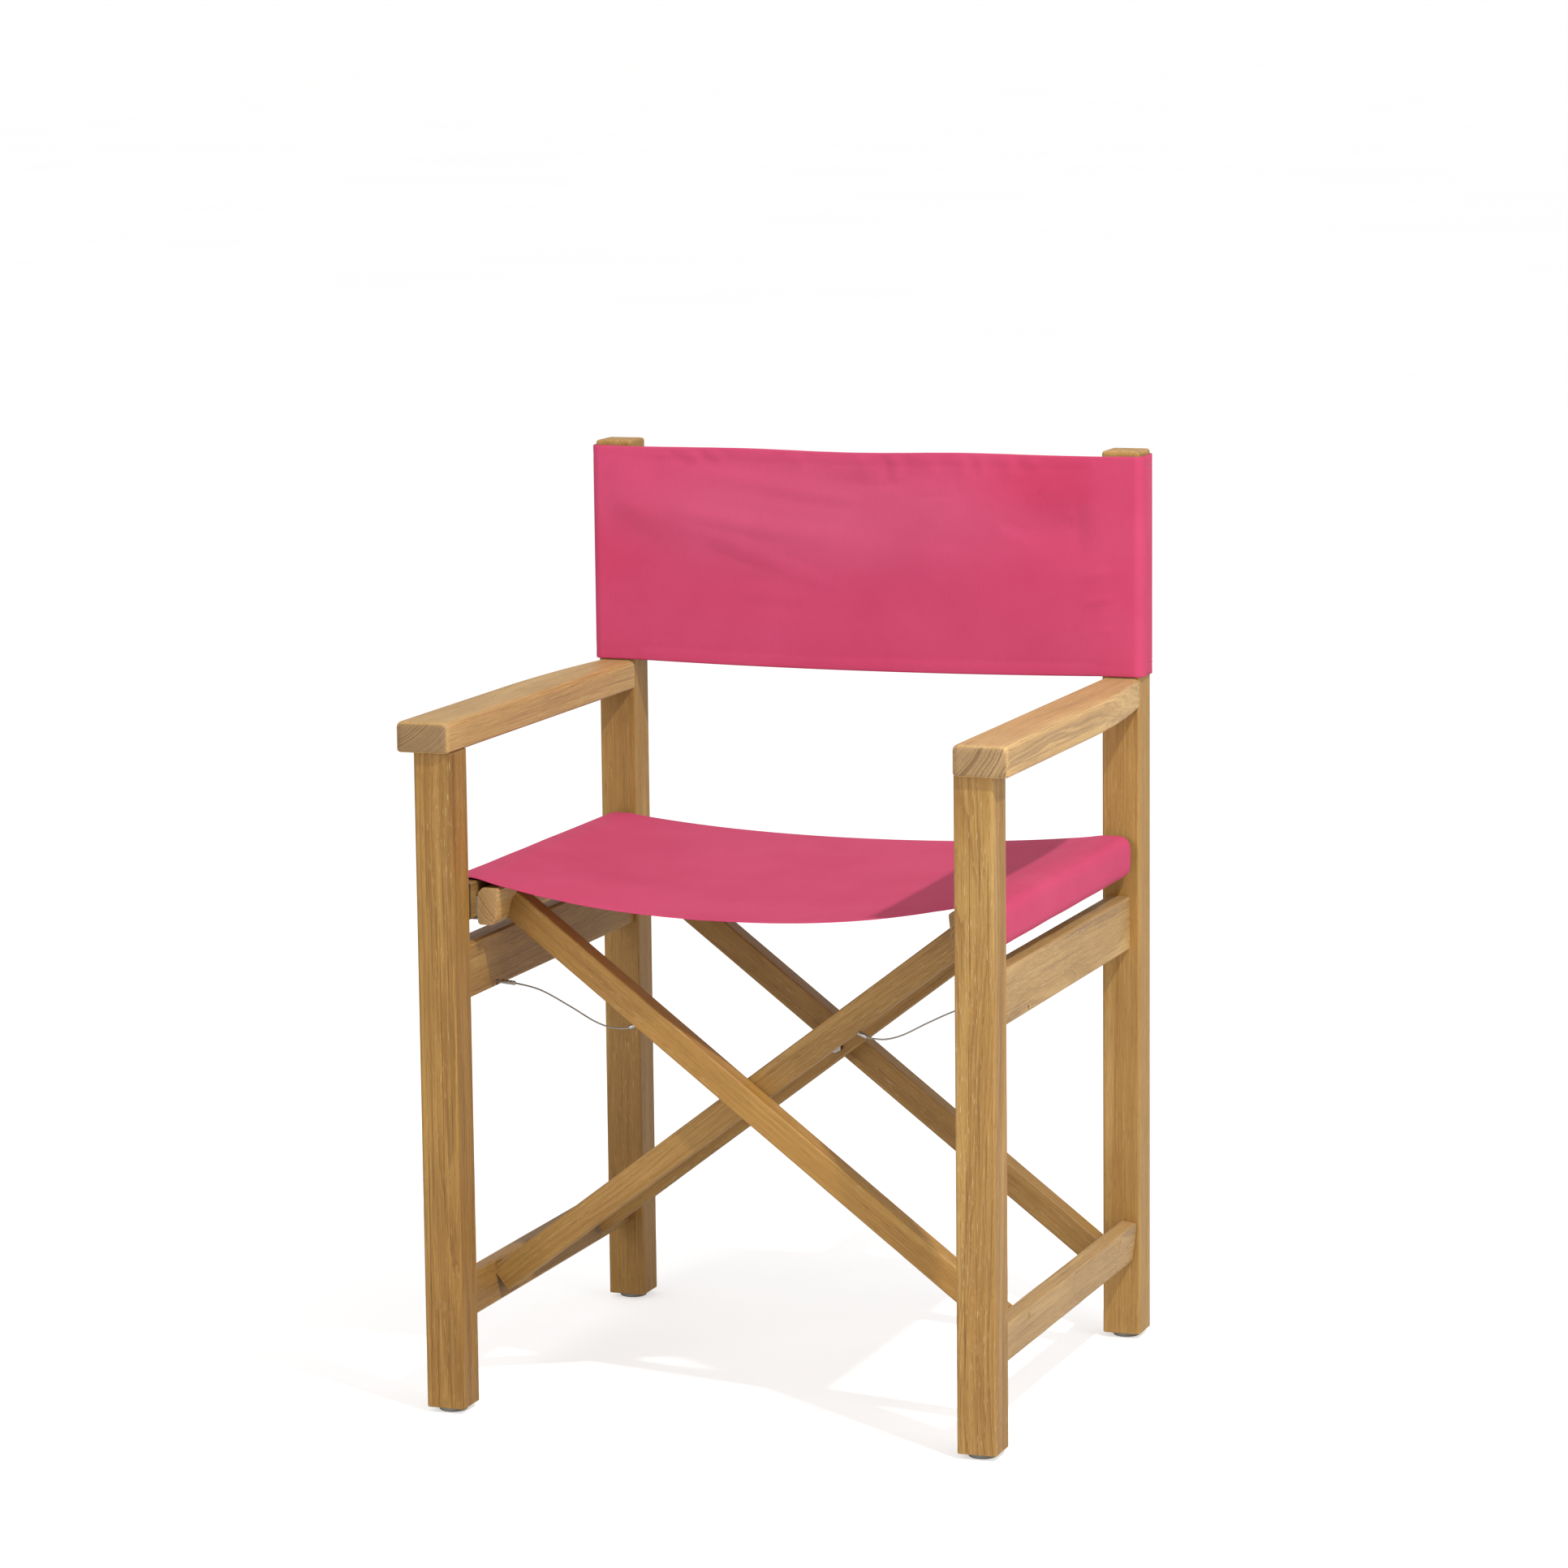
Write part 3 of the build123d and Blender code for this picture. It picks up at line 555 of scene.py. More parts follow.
def cubic(knots, values, x):
    """Smooth curve through the knots, with finite difference slopes."""
    knots, values = np.asarray(knots, float), np.asarray(values, float)
    gap = np.diff(knots)
    rise = np.diff(values) / gap
    slope = np.zeros(len(knots))
    slope[1:-1] = (rise[:-1] * gap[1:] + rise[1:] * gap[:-1]) / (gap[1:] + gap[:-1])
    slope[0], slope[-1] = rise[0], rise[-1]
    i = np.clip(np.searchsorted(knots, x) - 1, 0, len(gap) - 1)
    t = (x - knots[i]) / gap[i]
    return ((2 * t**3 - 3 * t**2 + 1) * values[i] + (t**3 - 2 * t**2 + t) * gap[i] * slope[i]
            + (-2 * t**3 + 3 * t**2) * values[i + 1] + (t**3 - t**2) * gap[i] * slope[i + 1])


def mirrored_section(side, middle):
    """Left side, middle, and the mirrored side again."""
    return np.concatenate([side, middle, side[::-1] * [-1, 1]])


def mesh_object(name, verts, faces, mat):
    mesh = bpy.data.meshes.new(name)
    mesh.from_pydata([tuple(map(float, v)) for v in verts], [], faces)
    mesh.polygons.foreach_set("use_smooth", [True] * len(mesh.polygons))
    mesh.materials.append(mat)
    obj = bpy.data.objects.new(name, mesh)
    bpy.context.scene.collection.objects.link(obj)
    return obj


def cloth_object(name, points, run, rise, closed=False):
    """Quad mesh over points[i, j]; run[i] and rise[j] are the cloth's own coordinates (m)."""
    rows, columns = points.shape[:2]
    ids = np.arange(rows * columns).reshape(rows, columns).tolist()
    starts = list(range(rows - 1)) + ([-1] if closed else [])
    faces = [(ids[i][j], ids[i][j + 1], ids[i + 1][j + 1], ids[i + 1][j])
             for i in starts for j in range(columns - 1)]
    obj = mesh_object(name, points.reshape(-1, 3), faces, CANVAS)
    mesh = obj.data
    uv = np.stack(np.meshgrid(run, rise, indexing="ij"), -1).reshape(-1, 2)
    corner = np.zeros(len(mesh.loops), np.int32)
    mesh.loops.foreach_get("vertex_index", corner)
    layer = mesh.uv_layers.new(name="cloth")
    layer.data.foreach_set("uv", uv[corner].astype(np.float32).ravel())
    return obj


def coords(obj):
    flat = np.zeros(len(obj.data.vertices) * 3, np.float32)
    obj.data.vertices.foreach_get("co", flat)
    return flat.reshape(-1, 3).astype(float)


def set_coords(obj, points):
    obj.data.vertices.foreach_set("co", points.astype(np.float32).ravel())
    obj.data.update()


def weight_group(obj, name, weights):
    """Vertex group with weights rounded to 0.01."""
    group = obj.vertex_groups.new(name=name)
    weights = np.round(weights, 2)
    for weight in sorted(set(weights)):
        if weight > 0:
            members = [int(i) for i in np.nonzero(weights == weight)[0]]
            group.add(members, float(weight), "REPLACE")
    return group


DRAPE_FRAMES = 18
DRAPE_STIFFNESS = 40


def drape(obj, free, cap, shrink, gravity, bend):
    """Cloth simulation held where free is low; no point ends more than cap (m) from its start."""
    start = coords(obj)
    held = (1 - free).ravel()
    group = weight_group(obj, "pin", np.where(held > 0.02, np.maximum(held, 0.3), 0))
    cloth = obj.modifiers.new("Cloth", "CLOTH")
    settings = cloth.settings
    settings.quality = 6
    settings.mass = 0.015
    settings.air_damping = 3.0
    settings.tension_stiffness = settings.compression_stiffness = DRAPE_STIFFNESS
    settings.shear_stiffness = DRAPE_STIFFNESS * 0.4
    settings.bending_stiffness = bend
    settings.vertex_group_mass = "pin"
    settings.shrink_min = shrink
    settings.effector_weights.gravity = gravity
    cloth.collision_settings.use_collision = False
    cloth.collision_settings.use_self_collision = False
    cloth.point_cache.frame_start = 1
    cloth.point_cache.frame_end = DRAPE_FRAMES
    scene = bpy.context.scene
    for frame_number in range(1, DRAPE_FRAMES + 1):
        scene.frame_set(frame_number)
    move = coords(obj.evaluated_get(bpy.context.evaluated_depsgraph_get())) - start
    obj.modifiers.remove(cloth)
    obj.vertex_groups.remove(group)
    scene.frame_set(1)
    far = np.linalg.norm(move, axis=1)
    move *= (np.minimum(far, cap) / np.maximum(far, 1e-9))[:, None]
    set_coords(obj, start + move)


def thicken(obj, thin, thick, hem=0.0, soften=True):
    """Gives the cloth thickness (m) behind its faces and bakes it, subdivided if softened.

    hem is 0 for the thin cloth and 1 for the full thickness, one value or one per point.
    """
    hem = np.broadcast_to(hem, len(obj.data.vertices))
    weight_group(obj, "hem", thin / thick + (1 - thin / thick) * hem)
    solid = obj.modifiers.new("thickness", "SOLIDIFY")
    solid.thickness = thick
    solid.offset = -1.0
    solid.vertex_group = "hem"
    solid.use_even_offset = False
    solid.use_rim = True
    if soften:
        subdivision = obj.modifiers.new("soft", "SUBSURF")
        subdivision.levels = subdivision.render_levels = 1
    graph = bpy.context.evaluated_depsgraph_get()
    mesh = bpy.data.meshes.new_from_object(
        obj.evaluated_get(graph), preserve_all_data_layers=True, depsgraph=graph)
    obj.modifiers.clear()
    obj.data = mesh
    mesh.polygons.foreach_set("use_smooth", [True] * len(mesh.polygons))


def grid_normals(points):
    return unit(np.cross(np.gradient(points, axis=0), np.gradient(points, axis=1)))


def strips(base, rings, sides):
    """Quads between consecutive rings of vertices, the first vertex being base."""
    quads = []
    for i in range(rings - 1):
        for k in range(sides):
            a = base + i * sides + k
            b = base + i * sides + (k + 1) % sides
            quads.append((a, b, b + sides, a + sides))
    return quads


# one stitch, mm: length, half width, height above the cloth, lift, depth of its tips
STITCH_LENGTH, STITCH_HALF_WIDTH, STITCH_HEIGHT, STITCH_LIFT, TIP_DEPTH = 2.5, 0.42, 0.22, 0.05, 0.15
STITCH_SIDES = 6
# rings of a stitch: place from -1 to 1 along it, share of the full size
STITCH_RINGS = [(-0.82, 0.62), (-0.35, 0.98), (0.35, 0.98), (0.82, 0.62)]


def stitches(name, points, normals):
    """A row of stitches centred on points along a seam (m), with the cloth's normals."""
    points = points + normals * STITCH_LIFT * MM
    tangents = unit(np.gradient(points, axis=0))
    sides = unit(np.cross(normals, tangents))
    verts, faces = [], []
    for p, t, s, n in zip(points, tangents, sides, np.cross(tangents, sides)):
        half, across, up = (t * STITCH_LENGTH / 2 * MM, s * STITCH_HALF_WIDTH * MM,
                            n * STITCH_HEIGHT * MM)
        base = len(verts)
        for place, size in STITCH_RINGS:
            for k in range(STITCH_SIDES):
                angle = 2 * math.pi * k / STITCH_SIDES
                verts.append(p + half * place + across * math.cos(angle) * size
                             + up * math.sin(angle) * size)
        tip = len(verts)
        last = tip - STITCH_SIDES
        verts += [p - half - n * TIP_DEPTH * MM, p + half - n * TIP_DEPTH * MM]
        faces += strips(base, len(STITCH_RINGS), STITCH_SIDES)
        for k in range(STITCH_SIDES):
            after = (k + 1) % STITCH_SIDES
            faces.append((tip, base + after, base + k))
            faces.append((tip + 1, last + k, last + after))
    return mesh_object(name, verts, faces, THREAD)


def seam(name, line, normals, pitch, skip=0):
    """Stitches along a line of points at a pitch in mm, leaving out skip points at each end."""
    run = lengths(line)
    at = np.arange(run[skip], run[-1 - skip], pitch * MM)
    return stitches(name, interpolate(at, run, line), unit(interpolate(at, run, normals)))


# ------------------------------------------------------------------ seat sling
# heights (mm) of the cloth's sag at SEAT_X and mirrored, on the front edge, Y = 0 and rear edge
SEAT_X = [-246.5, -235, -224.5, -200, -151, -103, -60, 0]
SEAT_SAG = [
    [502.5, 499.4, 496.6, 492.6, 484.8, 477.6, 473.2, 471.5],
    [502.5, 499.6, 497.2, 493.2, 485.8, 479.0, 475.4, 474.0],
    [502.5, 500.6, 499.4, 497.2, 493.0, 490.0, 488.6, 488.0],
]
SEAT_RAISE = 2.0
SEAT_FRONT, SEAT_REAR = -193.0, 206.0
# left sleeve from its lower inner edge, round the outside, to the top: (x, z)
SEAT_SIDE = ([(-264.2, 465.7)] + arc(-265, 475.5, 10, -90, -180, 8)
             + arc(-265, 494.6, 10, 180, 90, 8) + [(-250, 504.55)])


def seat_height(x, y):
    """Height of the sagging cloth: cubic across, quadratic from front to rear."""
    knots = SEAT_X + [-knot for knot in SEAT_X[-2::-1]]
    front, middle, rear = [cubic(knots, half + half[-2::-1], x) + SEAT_RAISE
                           for half in SEAT_SAG]
    t = (y - SEAT_FRONT) / (SEAT_REAR - SEAT_FRONT)
    t_mid = (0 - SEAT_FRONT) / (SEAT_REAR - SEAT_FRONT)
    return (front * (t - t_mid) * (t - 1) / t_mid
            + middle * t * (t - 1) / (t_mid * (t_mid - 1))
            + rear * t * (t - t_mid) / (1 - t_mid))


def seat():
    side = evenly(SEAT_SIDE, 26)
    across = np.linspace(-244, 244, 99)
    stations = np.linspace(SEAT_FRONT, SEAT_REAR, 81)
    rows = 2 * len(side) + len(across)
    points = np.zeros((rows, len(stations), 3))
    for j, station in enumerate(stations):
        middle = np.stack([across, seat_height(across, station)], 1)
        points[:, j, 0::2] = mirrored_section(side, middle)
        points[:, j, 1] = station
    # views of the points: each change below builds on the ones before it
    x, y, z = points[..., 0], points[..., 1], points[..., 2]
    free = smooth(np.abs(x), 232, 205)
    # the hems pull in a little between the rails and ripple slightly
    bow = (1 - np.clip(x / 240, -1, 1) ** 2) * free
    near_front = smooth(y, SEAT_FRONT + 60, SEAT_FRONT)
    near_rear = smooth(y, SEAT_REAR - 60, SEAT_REAR)
    y += bow * (1.2 * near_front - 2.0 * near_rear)
    ripple = (0.55 * np.sin(x / 9.3 + 0.7) * smooth(x, 40, -200) + 0.35 * np.sin(x / 14.0)
              + 0.3 * np.sin(x / 23.0 + 2))
    z += free * ripple * (smooth(y, SEAT_FRONT + 34, SEAT_FRONT) * 0.55
                          + smooth(y, SEAT_REAR - 30, SEAT_REAR) * 0.35)
    # soft unevenness of the unloaded cloth
    uneven = (0.45 * np.sin((x + 0.6 * y) / 61.0) + 0.35 * np.sin((x - 0.9 * y) / 43.0 + 1.3))
    z += free * uneven * smooth(np.abs(y), 190, 120)
    # the sleeves: small dents on the outside, then on top
    dents = 0.30 * np.sin(y / 17.0 + np.sign(x)) + 0.22 * np.sin(y / 41.0)
    x += np.sign(x) * smooth(np.abs(x), 262, 274) * dents
    on_top = smooth(np.abs(x), 236, 250) * smooth(np.abs(x), 270, 262) * (z > 490)
    z += on_top * (0.25 * np.sin(y / 13.0) + 0.3 * np.sin(y / 37.0 + 1))
    points *= MM

    cloth = cloth_object("seat_cloth", points, lengths(points[:, 40]), stations * MM)
    drape(cloth, free, cap=0.002, shrink=0.001, gravity=0.6, bend=2.0)
    points = coords(cloth).reshape(points.shape)
    normals = grid_normals(points)
    # a row of stitches just inside each hem, on the third line of points from the edge
    rows_of_stitches = [
        seam(f"seat_hem_stitches_{k}", points[:, j], normals[:, j], pitch=3.3, skip=3)
        for k, j in enumerate((2, -3))]
    thicken(cloth, thin=0.0011, thick=0.0017)
    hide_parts("seat_sling")
    for piece in [cloth] + rows_of_stitches:
        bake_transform(piece)


seat()


# ------------------------------------------------------------------ back sling
BACK_HALF = 0.2857                                   # half width, m
BACK_BOTTOM, BACK_TOP = 660.7, 875.0
BACK_ROWS = np.linspace(BACK_BOTTOM, BACK_TOP, 67)
BACK_SEAMS = (BACK_BOTTOM + 10.5, BACK_TOP - 10.5)   # heights of the hem stitches
BACK_PITCH = 3.2                                     # of the stitches, mm
# left end of the front layer, round the post's outer corner: (x, y)
BACK_SIDE = ([(-BACK_HALF / MM, 225.5)]
             + arc(-BACK_HALF / MM + 8.5, 219.5, 8.5, 180, 270, 9))
# puckers under the top hem, as shares of the back: place, height (mm), length, width, lean
PUCKERS = [
    (0.10, 0.9, 0.12, 0.010, 0.1), (0.165, 1.2, 0.15, 0.008, 0.0), (0.21, 0.9, 0.10, 0.010, -0.1),
    (0.31, 0.6, 0.1, 0.012, 0), (0.375, 1.0, 0.14, 0.009, 0.1), (0.44, 0.8, 0.10, 0.008, 0),
    (0.505, 1.6, 0.30, 0.010, 0.05), (0.53, 1.3, 0.22, 0.008, 0.0),
    (0.57, 1.2, 0.24, 0.009, -0.12), (0.635, 0.8, 0.14, 0.010, 0), (0.70, 1.1, 0.20, 0.010, 0.1),
    (0.735, 1.0, 0.15, 0.008, 0), (0.79, 1.3, 0.18, 0.010, -0.1), (0.84, 0.8, 0.10, 0.009, 0),
]
# short diagonal pulls beside the sleeves: height as a share, size (mm)
RIGHT_PULLS = [(0.46, 0.6), (0.34, 0.9), (0.57, 0.5), (0.20, 0.4)]
LEFT_PULLS = [(0.72, 0.3), (0.40, 0.25), (0.25, 0.2)]


def back_relief(s, h, free):
    """How far the front layer stands forward (mm), at shares s of the width and h of the height."""
    # long soft fold from high on the left post, falling towards the middle; steeper below
    size = 4.8 * smooth(s, -0.05, 0.06) * smooth(s, 0.72, 0.22)
    offset = (h - (0.76 - 0.50 * smooth(s, -0.1, 0.75))) / (0.10 + 0.10 * s)
    relief = size * np.exp(-offset * offset * np.where(offset > 0, 0.35, 1.3))
    # a second, lower fold
    relief += (0.4 * smooth(s, 0.0, 0.1) * smooth(s, 0.7, 0.3)
               * bell(h, centre=0.50 - 0.30 * smooth(s, 0.0, 0.7), width=0.13))
    # upper right corner: a hollow below the hem, a ridge down beside the post, a slanting ridge
    relief -= 5.2 * bell(s, centre=0.87, width=0.10) * bell(h, centre=0.66, width=0.15)
    relief += (1.1 * bell(s, centre=0.955 - 0.02 * (h - 0.5), width=0.03)
               * smooth(h, 0.0, 0.6))
    relief += (1.0 * bell(h, centre=0.62 - 0.45 * (s - 0.75), width=0.10)
               * smooth(s, 0.45, 0.72) * smooth(s, 1.0, 0.85))
    # each pucker is a narrow ridge with a shallower groove on its right
    down = 1 - h
    for place, height, length, width, lean in PUCKERS:
        ridge = place + lean * down * 0.12
        fade = smooth(down, length, 0.03) * smooth(down, -0.01, 0.045)
        relief += height * bell(s, ridge, 1.4 * width) * fade
        relief -= 0.7 * height * bell(s, ridge + 2.1 * width, 1.4 * width) * fade
    for height, size in RIGHT_PULLS:
        relief += (size * bell(h, centre=height + 0.5 * (s - 0.95), width=0.016)
                   * smooth(s, 0.90, 0.955) * smooth(s, 1.0, 0.975))
    for height, size in LEFT_PULLS:
        relief += (size * bell(h, centre=height - 0.5 * (s - 0.05), width=0.018)
                   * smooth(s, 0.10, 0.05) * smooth(s, 0.0, 0.025))
    # soft unevenness
    relief += free * (0.35 * np.sin(s * 9.1 + h * 3.1) + 0.25 * np.sin(s * 15.3 - h * 5.0 + 1.0))
    return relief


def back_row(points, height):
    """Line of grid points at a height (mm), and the index of the row just below it."""
    rows = (height - BACK_BOTTOM) / (BACK_ROWS[1] - BACK_ROWS[0])
    low = int(rows)
    part = rows - low
    return points[:, low] * (1 - part) + points[:, low + 1] * part, low


def pulled_in(points, normals, z):
    """Points with a groove where the stitches draw the hems in."""
    distance = np.minimum(np.abs(z - BACK_SEAMS[0]), np.abs(z - BACK_SEAMS[1]))
    return points - normals * (bell(distance, centre=0, width=2.2) * 0.0002)[..., None]


def back_grid(section):
    """Points over a section of (x, y) raised through the rows of the back, in mm."""
    points = np.zeros((len(section), len(BACK_ROWS), 3))
    points[..., :2] = section[:, None]
    points[..., 2] = BACK_ROWS
    return points


def back_panel():
    """Front layer: one cloth from the outer corner of one post to that of the other."""
    across = np.linspace(-275.5, 275.5, 139)
    middle = np.stack([across, np.full_like(across, 211.0)], 1)
    section = mirrored_section(evenly(BACK_SIDE, 14), middle)
    points = back_grid(section)
    x, z = points[..., 0].copy(), points[..., 2].copy()
    s = (x + 262) / 524
    h = (z - BACK_BOTTOM) / (BACK_TOP - BACK_BOTTOM)
    free = smooth(np.abs(x), 243, 215)
    # the upper edge waves a little, the lower edge bows down
    points[..., 2] += (
        (1 - np.clip(x / 243, -1, 1) ** 2) * (-3.4 * (1 - h) ** 2)
        + free * h ** 3 * (-1.3 * bell(x, centre=-10, width=70)
                           + 0.9 * bell(x, centre=110, width=60)
                           + 0.8 * bell(x, centre=-130, width=60)))
    relief = back_relief(s, h, free)
    # over the posts the cloth lies on the sleeve and can only stand off it
    hold = smooth(np.abs(x), 282, 255)
    post = smooth(np.abs(x), 222, 246)
    points[..., 1] -= hold * (relief * (1 - post) + post * np.maximum(relief, 0))
    points *= MM

    cloth = cloth_object("back_cloth", points, lengths(section) * MM, BACK_ROWS * MM)
    drape(cloth, free, cap=0.0015, shrink=0.0012, gravity=0.4, bend=3.0)
    points = coords(cloth).reshape(points.shape)
    normals = grid_normals(points)
    pieces = [cloth]
    for k, height in enumerate(BACK_SEAMS):
        line, low = back_row(points, height)
        pieces.append(seam(f"back_hem_stitches_{k}", line, normals[:, low], BACK_PITCH, skip=2))
    for k, i in enumerate((1, len(section) - 2)):
        heights = np.arange(BACK_BOTTOM + 3, BACK_TOP - 3, BACK_PITCH) * MM
        line = interpolate(heights, points[i, :, 2], points[i])
        line[:, 2] = heights
        outward = np.tile(normals[i, 33], (len(heights), 1))
        pieces.append(stitches(f"back_side_stitches_{k}", line, outward))
    set_coords(cloth, pulled_in(points, normals, z).reshape(-1, 3))
    # over the posts the layer stays thin so that it clears the sleeve below it
    hem = smooth(z, BACK_BOTTOM + 12, BACK_BOTTOM + 9) + smooth(z, BACK_TOP - 12, BACK_TOP - 9)
    hem[np.abs(section[:, 0]) > 238] = 0
    thicken(cloth, thin=0.0009, thick=0.0015, hem=hem.ravel())
    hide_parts("back_sling")
    for piece in pieces:
        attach(piece, "right_side")
        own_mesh(piece)


# faces of the right sleeve (mm)
SLEEVE_OUTER, SLEEVE_INNER, SLEEVE_FRONT, SLEEVE_REAR = 284.75, 241.9, 212.35, 254.5
# its rounded corners: centre x, centre y, radius, first angle
SLEEVE_CORNERS = [
    (SLEEVE_OUTER - 8.0, SLEEVE_FRONT + 8.0, 8.0, -90),
    (SLEEVE_OUTER - 4.4, SLEEVE_REAR - 4.4, 4.4, 0),
    (SLEEVE_INNER + 4.4, SLEEVE_REAR - 4.4, 4.4, 90),
    (SLEEVE_INNER + 4.4, SLEEVE_FRONT + 4.4, 4.4, 180),
]


def sleeve(side):
    """Tube of cloth round a rear post, worked out on the right and mirrored for the left."""
    sign = -1 if side == "left" else 1
    ring = []
    for centre_x, centre_y, radius, start in SLEEVE_CORNERS:
        ring += arc(centre_x, centre_y, radius, start, start + 90, 7)
    ring = evenly(ring + ring[:1], 73)[:-1]
    points = back_grid(ring)
    x, y, z = (points[..., k].copy() for k in range(3))
    # slack between the post's corners: at the rear, on the inner side, then on the outer side
    puff = 0.5 * np.sin(z / 21.0 + 1.1 * sign) + 0.35 * np.sin(z / 9.7 + y / 6.0) + 0.4
    from_middle = np.abs(x - (SLEEVE_OUTER + SLEEVE_INNER) / 2)
    rear = smooth(y, 236, 252) * smooth(from_middle, 19, 9)
    inner = smooth(x, 250, 243) * smooth(np.abs(y - 233), 19, 8)
    outer = smooth(x, 280, 284) * smooth(y, 222, 230) * smooth(y, 252, 240)
    points[..., 1] += rear * np.clip(puff, 0, 1.2) * 0.7
    points[..., 0] -= inner * np.clip(puff + 0.4, 0, 1.4) * 0.9
    points[..., 0] += outer * np.clip(puff, 0, 1) * 0.5
    # the inner top edge dips behind the hem, the inner bottom edge rises
    inward = smooth(x, 262, 244)
    points[..., 2] -= ((1.8 + 4.5 * smooth(y, 214, 236)) * inward
                       * smooth(z, BACK_TOP - 40, BACK_TOP))
    points[..., 2] += 1.2 * inward * smooth(z, BACK_BOTTOM + 40, BACK_BOTTOM)
    points[..., 0] *= sign
    points *= MM
    # outward on both sides: mirroring reverses the ring
    around = np.roll(points, -1, 0) - np.roll(points, 1, 0)
    normals = unit(np.cross(around, np.gradient(points, axis=1))) * sign
    behind = ring[:, 1] >= 228
    pieces = []
    for k, height in enumerate(BACK_SEAMS):
        line, low = back_row(points, height)
        pieces.append(seam(f"back_{side}_sleeve_stitches_{k}", line[behind],
                           normals[behind, low], BACK_PITCH))
    cloth = cloth_object(f"back_{side}_sleeve", pulled_in(points, normals, z),
                         lengths(ring) * MM, BACK_ROWS * MM, closed=True)
    # turn the faces outward; the mirrored side already has them so
    if side == "right":
        cloth.data.flip_normals()
    thicken(cloth, thin=0.0010, thick=0.0012, soften=False)
    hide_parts("back_sling")
    for piece in [cloth] + pieces:
        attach(piece, f"{side}_side")


back_panel()
sleeve("left")
sleeve("right")


# -------------------------------------------------------------------- cables
# left cable from its end inside the rail to its end in the bar: (x, z) in mm
CABLE = [(-261.0, 396.5), (-249.0, 396.5), (-244.0, 396.3), (-230.0, 395.2), (-204.5, 390.0),
         (-175.5, 376.5), (-151.0, 363.6), (-134.5, 358.3), (-122.0, 357.9), (-112.0, 359.6),
         (-103.0, 364.0)]
RAIL_MOUTH = (-249.0, 396.5)     # where the cable leaves the hole in the rail
BAR_MOUTH = (-115.0, 358.9)      # where it enters the crimp at the bar
RAIL_CRIMP = ((-244.5, 396.35), (-230.5, 395.3))
BAR_CRIMP = (BAR_MOUTH, (-104.4, 363.3))
# parts of the wire by |x| (m): the free run between two limits, and the two ends beyond
RUN_FROM, RUN_TO, RAIL_END_FROM, BAR_END_TO = 0.1142, 0.2492, 0.2488, 0.1152
# knob on the wire's end: distance beyond the rail mouth (mm), radius (m)
KNOB = [(9.0, 0.0012), (9.3, 0.0017), (9.8, 0.0019), (12.2, 0.0019), (12.7, 0.0017),
        (13.0, 0.0012)]
# rope (m): core radius, strand radius, radius and pitch of the strands' helix
CORE_RADIUS, STRAND_RADIUS, LAY_RADIUS, LAY_PITCH = 0.00034, 0.00031, 0.00058, 0.0105


def catmull(points, per=14):
    """Catmull-Rom curve through the points, with a number of steps per span."""
    p = np.asarray(points, float)
    p = np.vstack([2 * p[0] - p[1], p, 2 * p[-1] - p[-2]])
    curve = []
    for i in range(1, len(p) - 2):
        a, b, c, d = p[i - 1:i + 3]
        for t in np.linspace(0, 1, per, endpoint=False):
            curve.append(0.5 * (2 * b + (c - a) * t + (2 * a - 5 * b + 4 * c - d) * t**2
                                + (3 * b - a - 3 * c + d) * t**3))
    curve.append(p[-2])
    return np.array(curve)


def cross_axes(path):
    """Two unit axes across a path that lies in an XZ plane, at each of its points."""
    tangents = unit(np.gradient(path, axis=0))
    sides = unit(np.cross(tangents, [0.0, 1.0, 0.0]))
    return sides, np.cross(tangents, sides)


def tube_faces(base, rings, sides):
    """Strips between the rings and a cap on each end."""
    last = base + (rings - 1) * sides
    return strips(base, rings, sides) + [tuple(base + k for k in range(sides))[::-1],
                                         tuple(last + k for k in range(sides))]


def tube(verts, faces, path, radius, sides):
    """Adds a closed round tube; radius is one value or one per point (m)."""
    base = len(verts)
    radii = np.broadcast_to(radius, (len(path),))
    for point, side, up, r in zip(path, *cross_axes(path), radii):
        for k in range(sides):
            angle = 2 * math.pi * k / sides
            verts.append(point + (side * math.cos(angle) + up * math.sin(angle)) * r)
    faces += tube_faces(base, len(path), sides)


def rope(path):
    """Vertices and faces of six strands laid round a core."""
    verts, faces = [], []
    steps = np.linalg.norm(np.gradient(path, axis=0), axis=1)
    run = np.cumsum(steps) - steps[0]
    sides, ups = cross_axes(path)
    tube(verts, faces, path, CORE_RADIUS, 5)
    for k in range(6):
        angle = (2 * math.pi * (k / 6 + run / LAY_PITCH))[:, None]
        strand = path + (sides * np.cos(angle) + ups * np.sin(angle)) * LAY_RADIUS
        tube(verts, faces, strand, STRAND_RADIUS, 5)
    return verts, faces


def crimp(name, ends, sign, y):
    """Ferrule between two (x, z) ends in mm, pressed in three places, narrowed at each end."""
    rings, sides = 43, 20
    start, end = [np.array([x * sign, y, z]) * MM for x, z in ends]
    path = np.linspace(start, end, rings)
    verts = []
    for i, (point, side, up) in enumerate(zip(path, *cross_axes(path))):
        u = i / (rings - 1)
        body = 1.6 + 0.55 * smooth(u, 0.0, 0.05) * smooth(u, 1.0, 0.95)
        press = max(math.exp(-((u - place) / 0.075) ** 4) for place in (0.22, 0.5, 0.78))
        half_side = body * (1 - 0.15 * press) * MM
        half_up = body * (1 + 0.03 * press) * MM
        # pressing squares the round section
        power = 2.0 / (2.0 + 2.2 * press)
        for k in range(sides):
            angle = 2 * math.pi * k / sides
            c, s = math.cos(angle), math.sin(angle)
            verts.append(point + side * math.copysign(abs(c) ** power, c) * half_side
                         + up * math.copysign(abs(s) ** power, s) * half_up)
    return mesh_object(name, verts, tube_faces(0, rings, sides), STEEL)


